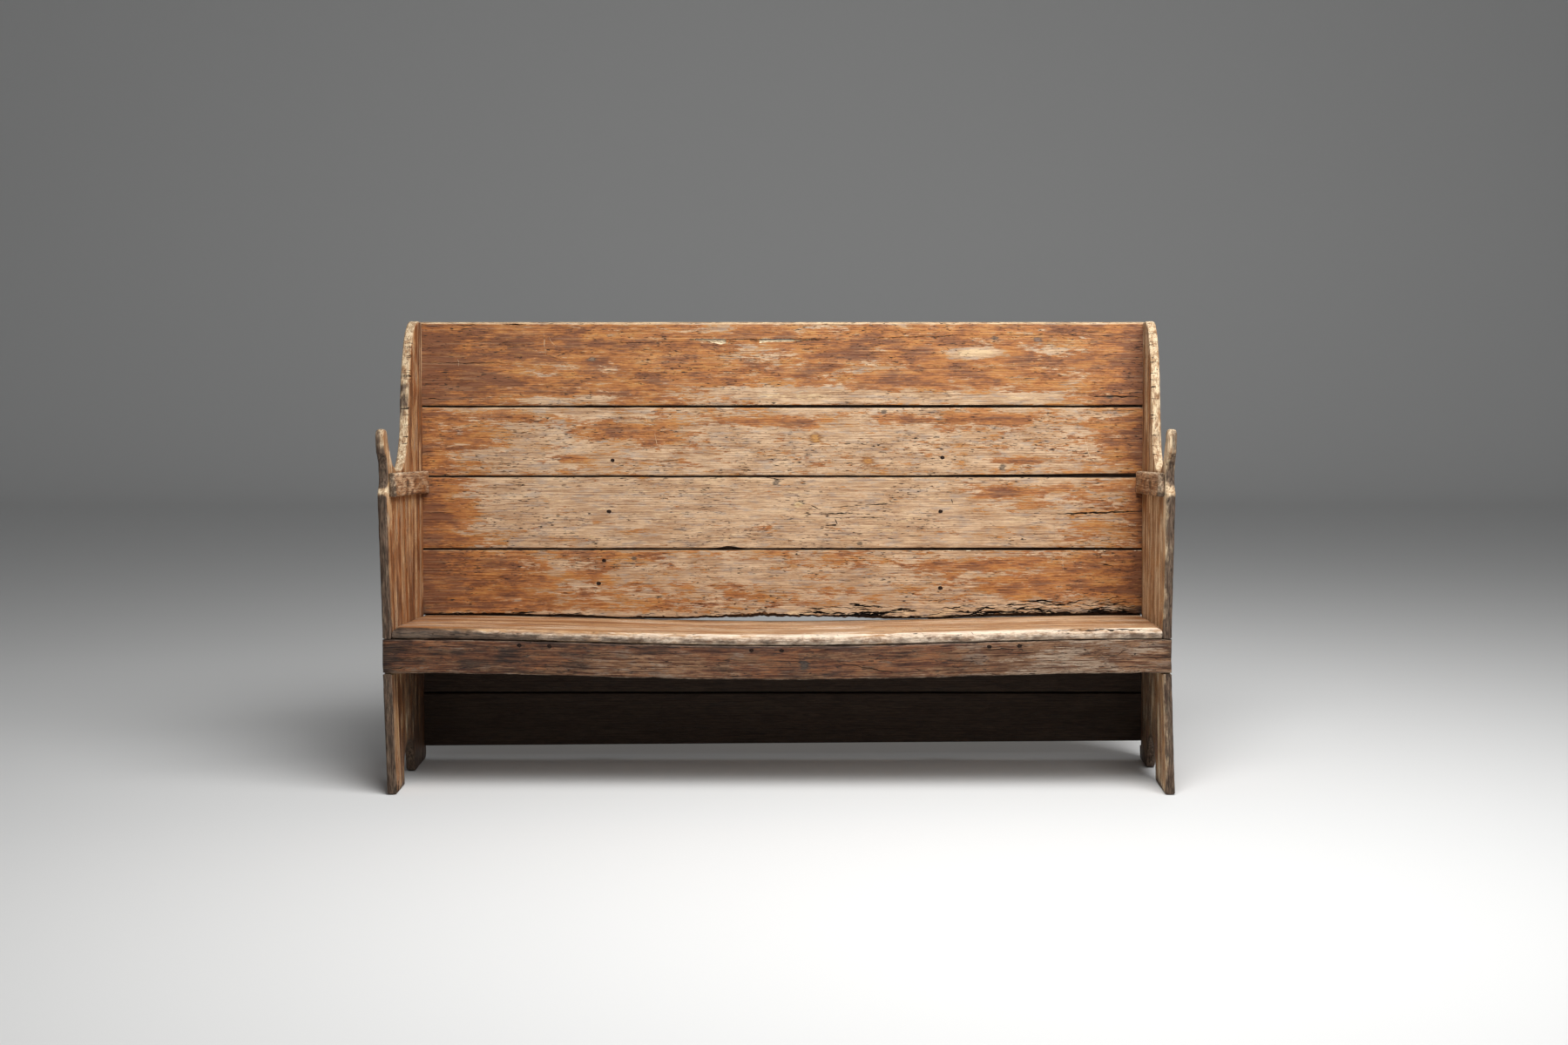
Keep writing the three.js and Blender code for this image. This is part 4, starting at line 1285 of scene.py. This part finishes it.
def forged_nail(name, index):
    """A nail in the place of the frame's, driven a little deeper, with its head beaten out of round."""
    points = squared(name)
    low, high = corners(points)
    middle = low.lerp(high, 0.5)
    size = high - low
    along = max(range(3), key=lambda axis: size[axis])
    others = [axis for axis in range(3) if axis != along]
    widest = max(points, key=lambda point: sum((point[axis] - middle[axis]) ** 2 for axis in others))
    to_head = 1 if widest[along] > middle[along] else -1
    drive = Vector([to_head * (axis == along) for axis in range(3)])
    side, up = [Vector([float(axis == other) for axis in range(3)]) for other in others]
    top = middle + drive * (size[along] / 2 - 1.9)
    length = size[along] - 2.5
    # Each section: how far below the top of the head, its radius, and whether it is round, 8, or square, 4
    sections = [(0, 1.2, 8), (0.35, 3.0, 8), (1.1, 4.0, 8), (1.9, 4.1, 8), (2.5, 3.4, 8), (2.9, 2.2, 4)]
    sections += [(2.9 + (length - 2.9) * s, 2.2 - 1.3 * s, 4) for s in (0.2, 0.45, 0.7, 0.9, 1.0)]
    shape = bmesh.new()
    last = None
    for down, radius, sides in sections:
        ring = []
        for i in range(head_sides):
            turn = math.tau * (i + 0.5) / head_sides
            spread = radius
            if sides == head_sides:
                spread *= 1 + 0.14 * uneven(2 * math.cos(turn), 2 * math.sin(turn), index * 3.7)
            else:
                spread *= 0.86 if i % 2 else 1.06
            aside = side * spread * math.cos(turn) + up * spread * math.sin(turn)
            ring.append(shape.verts.new(top - drive * down + aside))
        if last is None:
            shape.faces.new(ring)
        else:
            for j in range(head_sides):
                shape.faces.new((last[j - 1], last[j], ring[j], ring[j - 1]))
        last = ring
    shape.faces.new(last[::-1])
    bmesh.ops.recalc_face_normals(shape, faces=shape.faces)
    mesh = bpy.data.meshes.new(name)
    shape.transform(to_row)
    shape.to_mesh(mesh)
    shape.free()
    mesh.materials.append(iron)
    for polygon in mesh.polygons:
        polygon.use_smooth = True
    mark_sharp(mesh, 40)
    piece = bpy.data.objects.new(name + ".forged", mesh)
    bpy.context.scene.collection.objects.link(piece)
    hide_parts(name)
    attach(piece, "root")


for index, name in enumerate(sorted(n for n in frame["nodes"] if "nail" in n)):
    forged_nail(name, index)

# Studio
# A plain pale floor that rolls up into a backdrop far behind the bench. Most of the light is soft and comes
# from above and in front, with a little from behind. All of it is in metres.
floor_size = 14
roll_radius = 1.6
back_wall = 8.6
wall_top = 9
roll_start = back_wall - roll_radius
profile = [(-floor_size, 0), (roll_start, 0)]
for degrees in range(6, 91, 6):
    turn = math.radians(degrees)
    profile.append((roll_start + roll_radius * math.sin(turn), roll_radius - roll_radius * math.cos(turn)))
profile.append((back_wall, wall_top))
cove = bpy.data.meshes.new("studio_floor")
cove.from_pydata(
    [(x, y, z) for y, z in profile for x in (-floor_size, floor_size)], [],
    [(2 * i, 2 * i + 1, 2 * i + 3, 2 * i + 2) for i in range(len(profile) - 1)],
)
for polygon in cove.polygons:
    polygon.use_smooth = True
studio_floor = bpy.data.objects.new("studio_floor", cove)
bpy.context.scene.collection.objects.link(studio_floor)
floor_paint = Finish("floor_paint")
floor_paint.surface.inputs["Base Color"].default_value = paint("E2E2E1")
floor_paint.surface.inputs["Roughness"].default_value = 0.9
cove.materials.append(floor_paint.material)


def lamp(name, place, target, size, power):
    light = bpy.data.lights.new(name, "AREA")
    light.shape, light.size, light.size_y = "RECTANGLE", *size
    light.energy = power
    made = bpy.data.objects.new(name, light)
    made.location = place
    made.rotation_euler = (Vector(target) - Vector(place)).to_track_quat("-Z", "Y").to_euler()
    bpy.context.scene.collection.objects.link(made)


lamp("overhead", (0.85, -1.5, 3.4), (0.2, 0, 0.5), (3.0, 1.6), 153)
lamp("front", (1.6, -3.2, 2.6), (0, 0, 0.6), (2.0, 1.6), 34)
lamp("behind", (0.5, 1.8, 3.0), (0, 0, 1.0), (3.0, 1.0), 8)
world = bpy.data.worlds.new("studio")
world.use_nodes = True
room_light = world.node_tree.nodes["Background"]
room_light.inputs["Color"].default_value = paint("E6E8EA")
room_light.inputs["Strength"].default_value = 0.14
scene = bpy.context.scene
scene.world = world
scene.view_settings.view_transform = "Standard"

# Camera
# It stands in front of the bench, a little to the right and just above its back, and looks slightly down.
# Its lens and its sensor are given in millimetres, and its place in metres.
lens = 50
sensor_width = 36
camera_place = (0.202, -5.690, 1.291)
camera_tilt = 6.26
camera_shift = -0.046
view = bpy.data.cameras.new("camera")
view.lens, view.sensor_width = lens, sensor_width
view.shift_x = camera_shift
camera = bpy.data.objects.new("camera", view)
camera.location = camera_place
camera.rotation_euler = (math.radians(90 - camera_tilt), 0, 0)
scene.collection.objects.link(camera)
scene.camera = camera
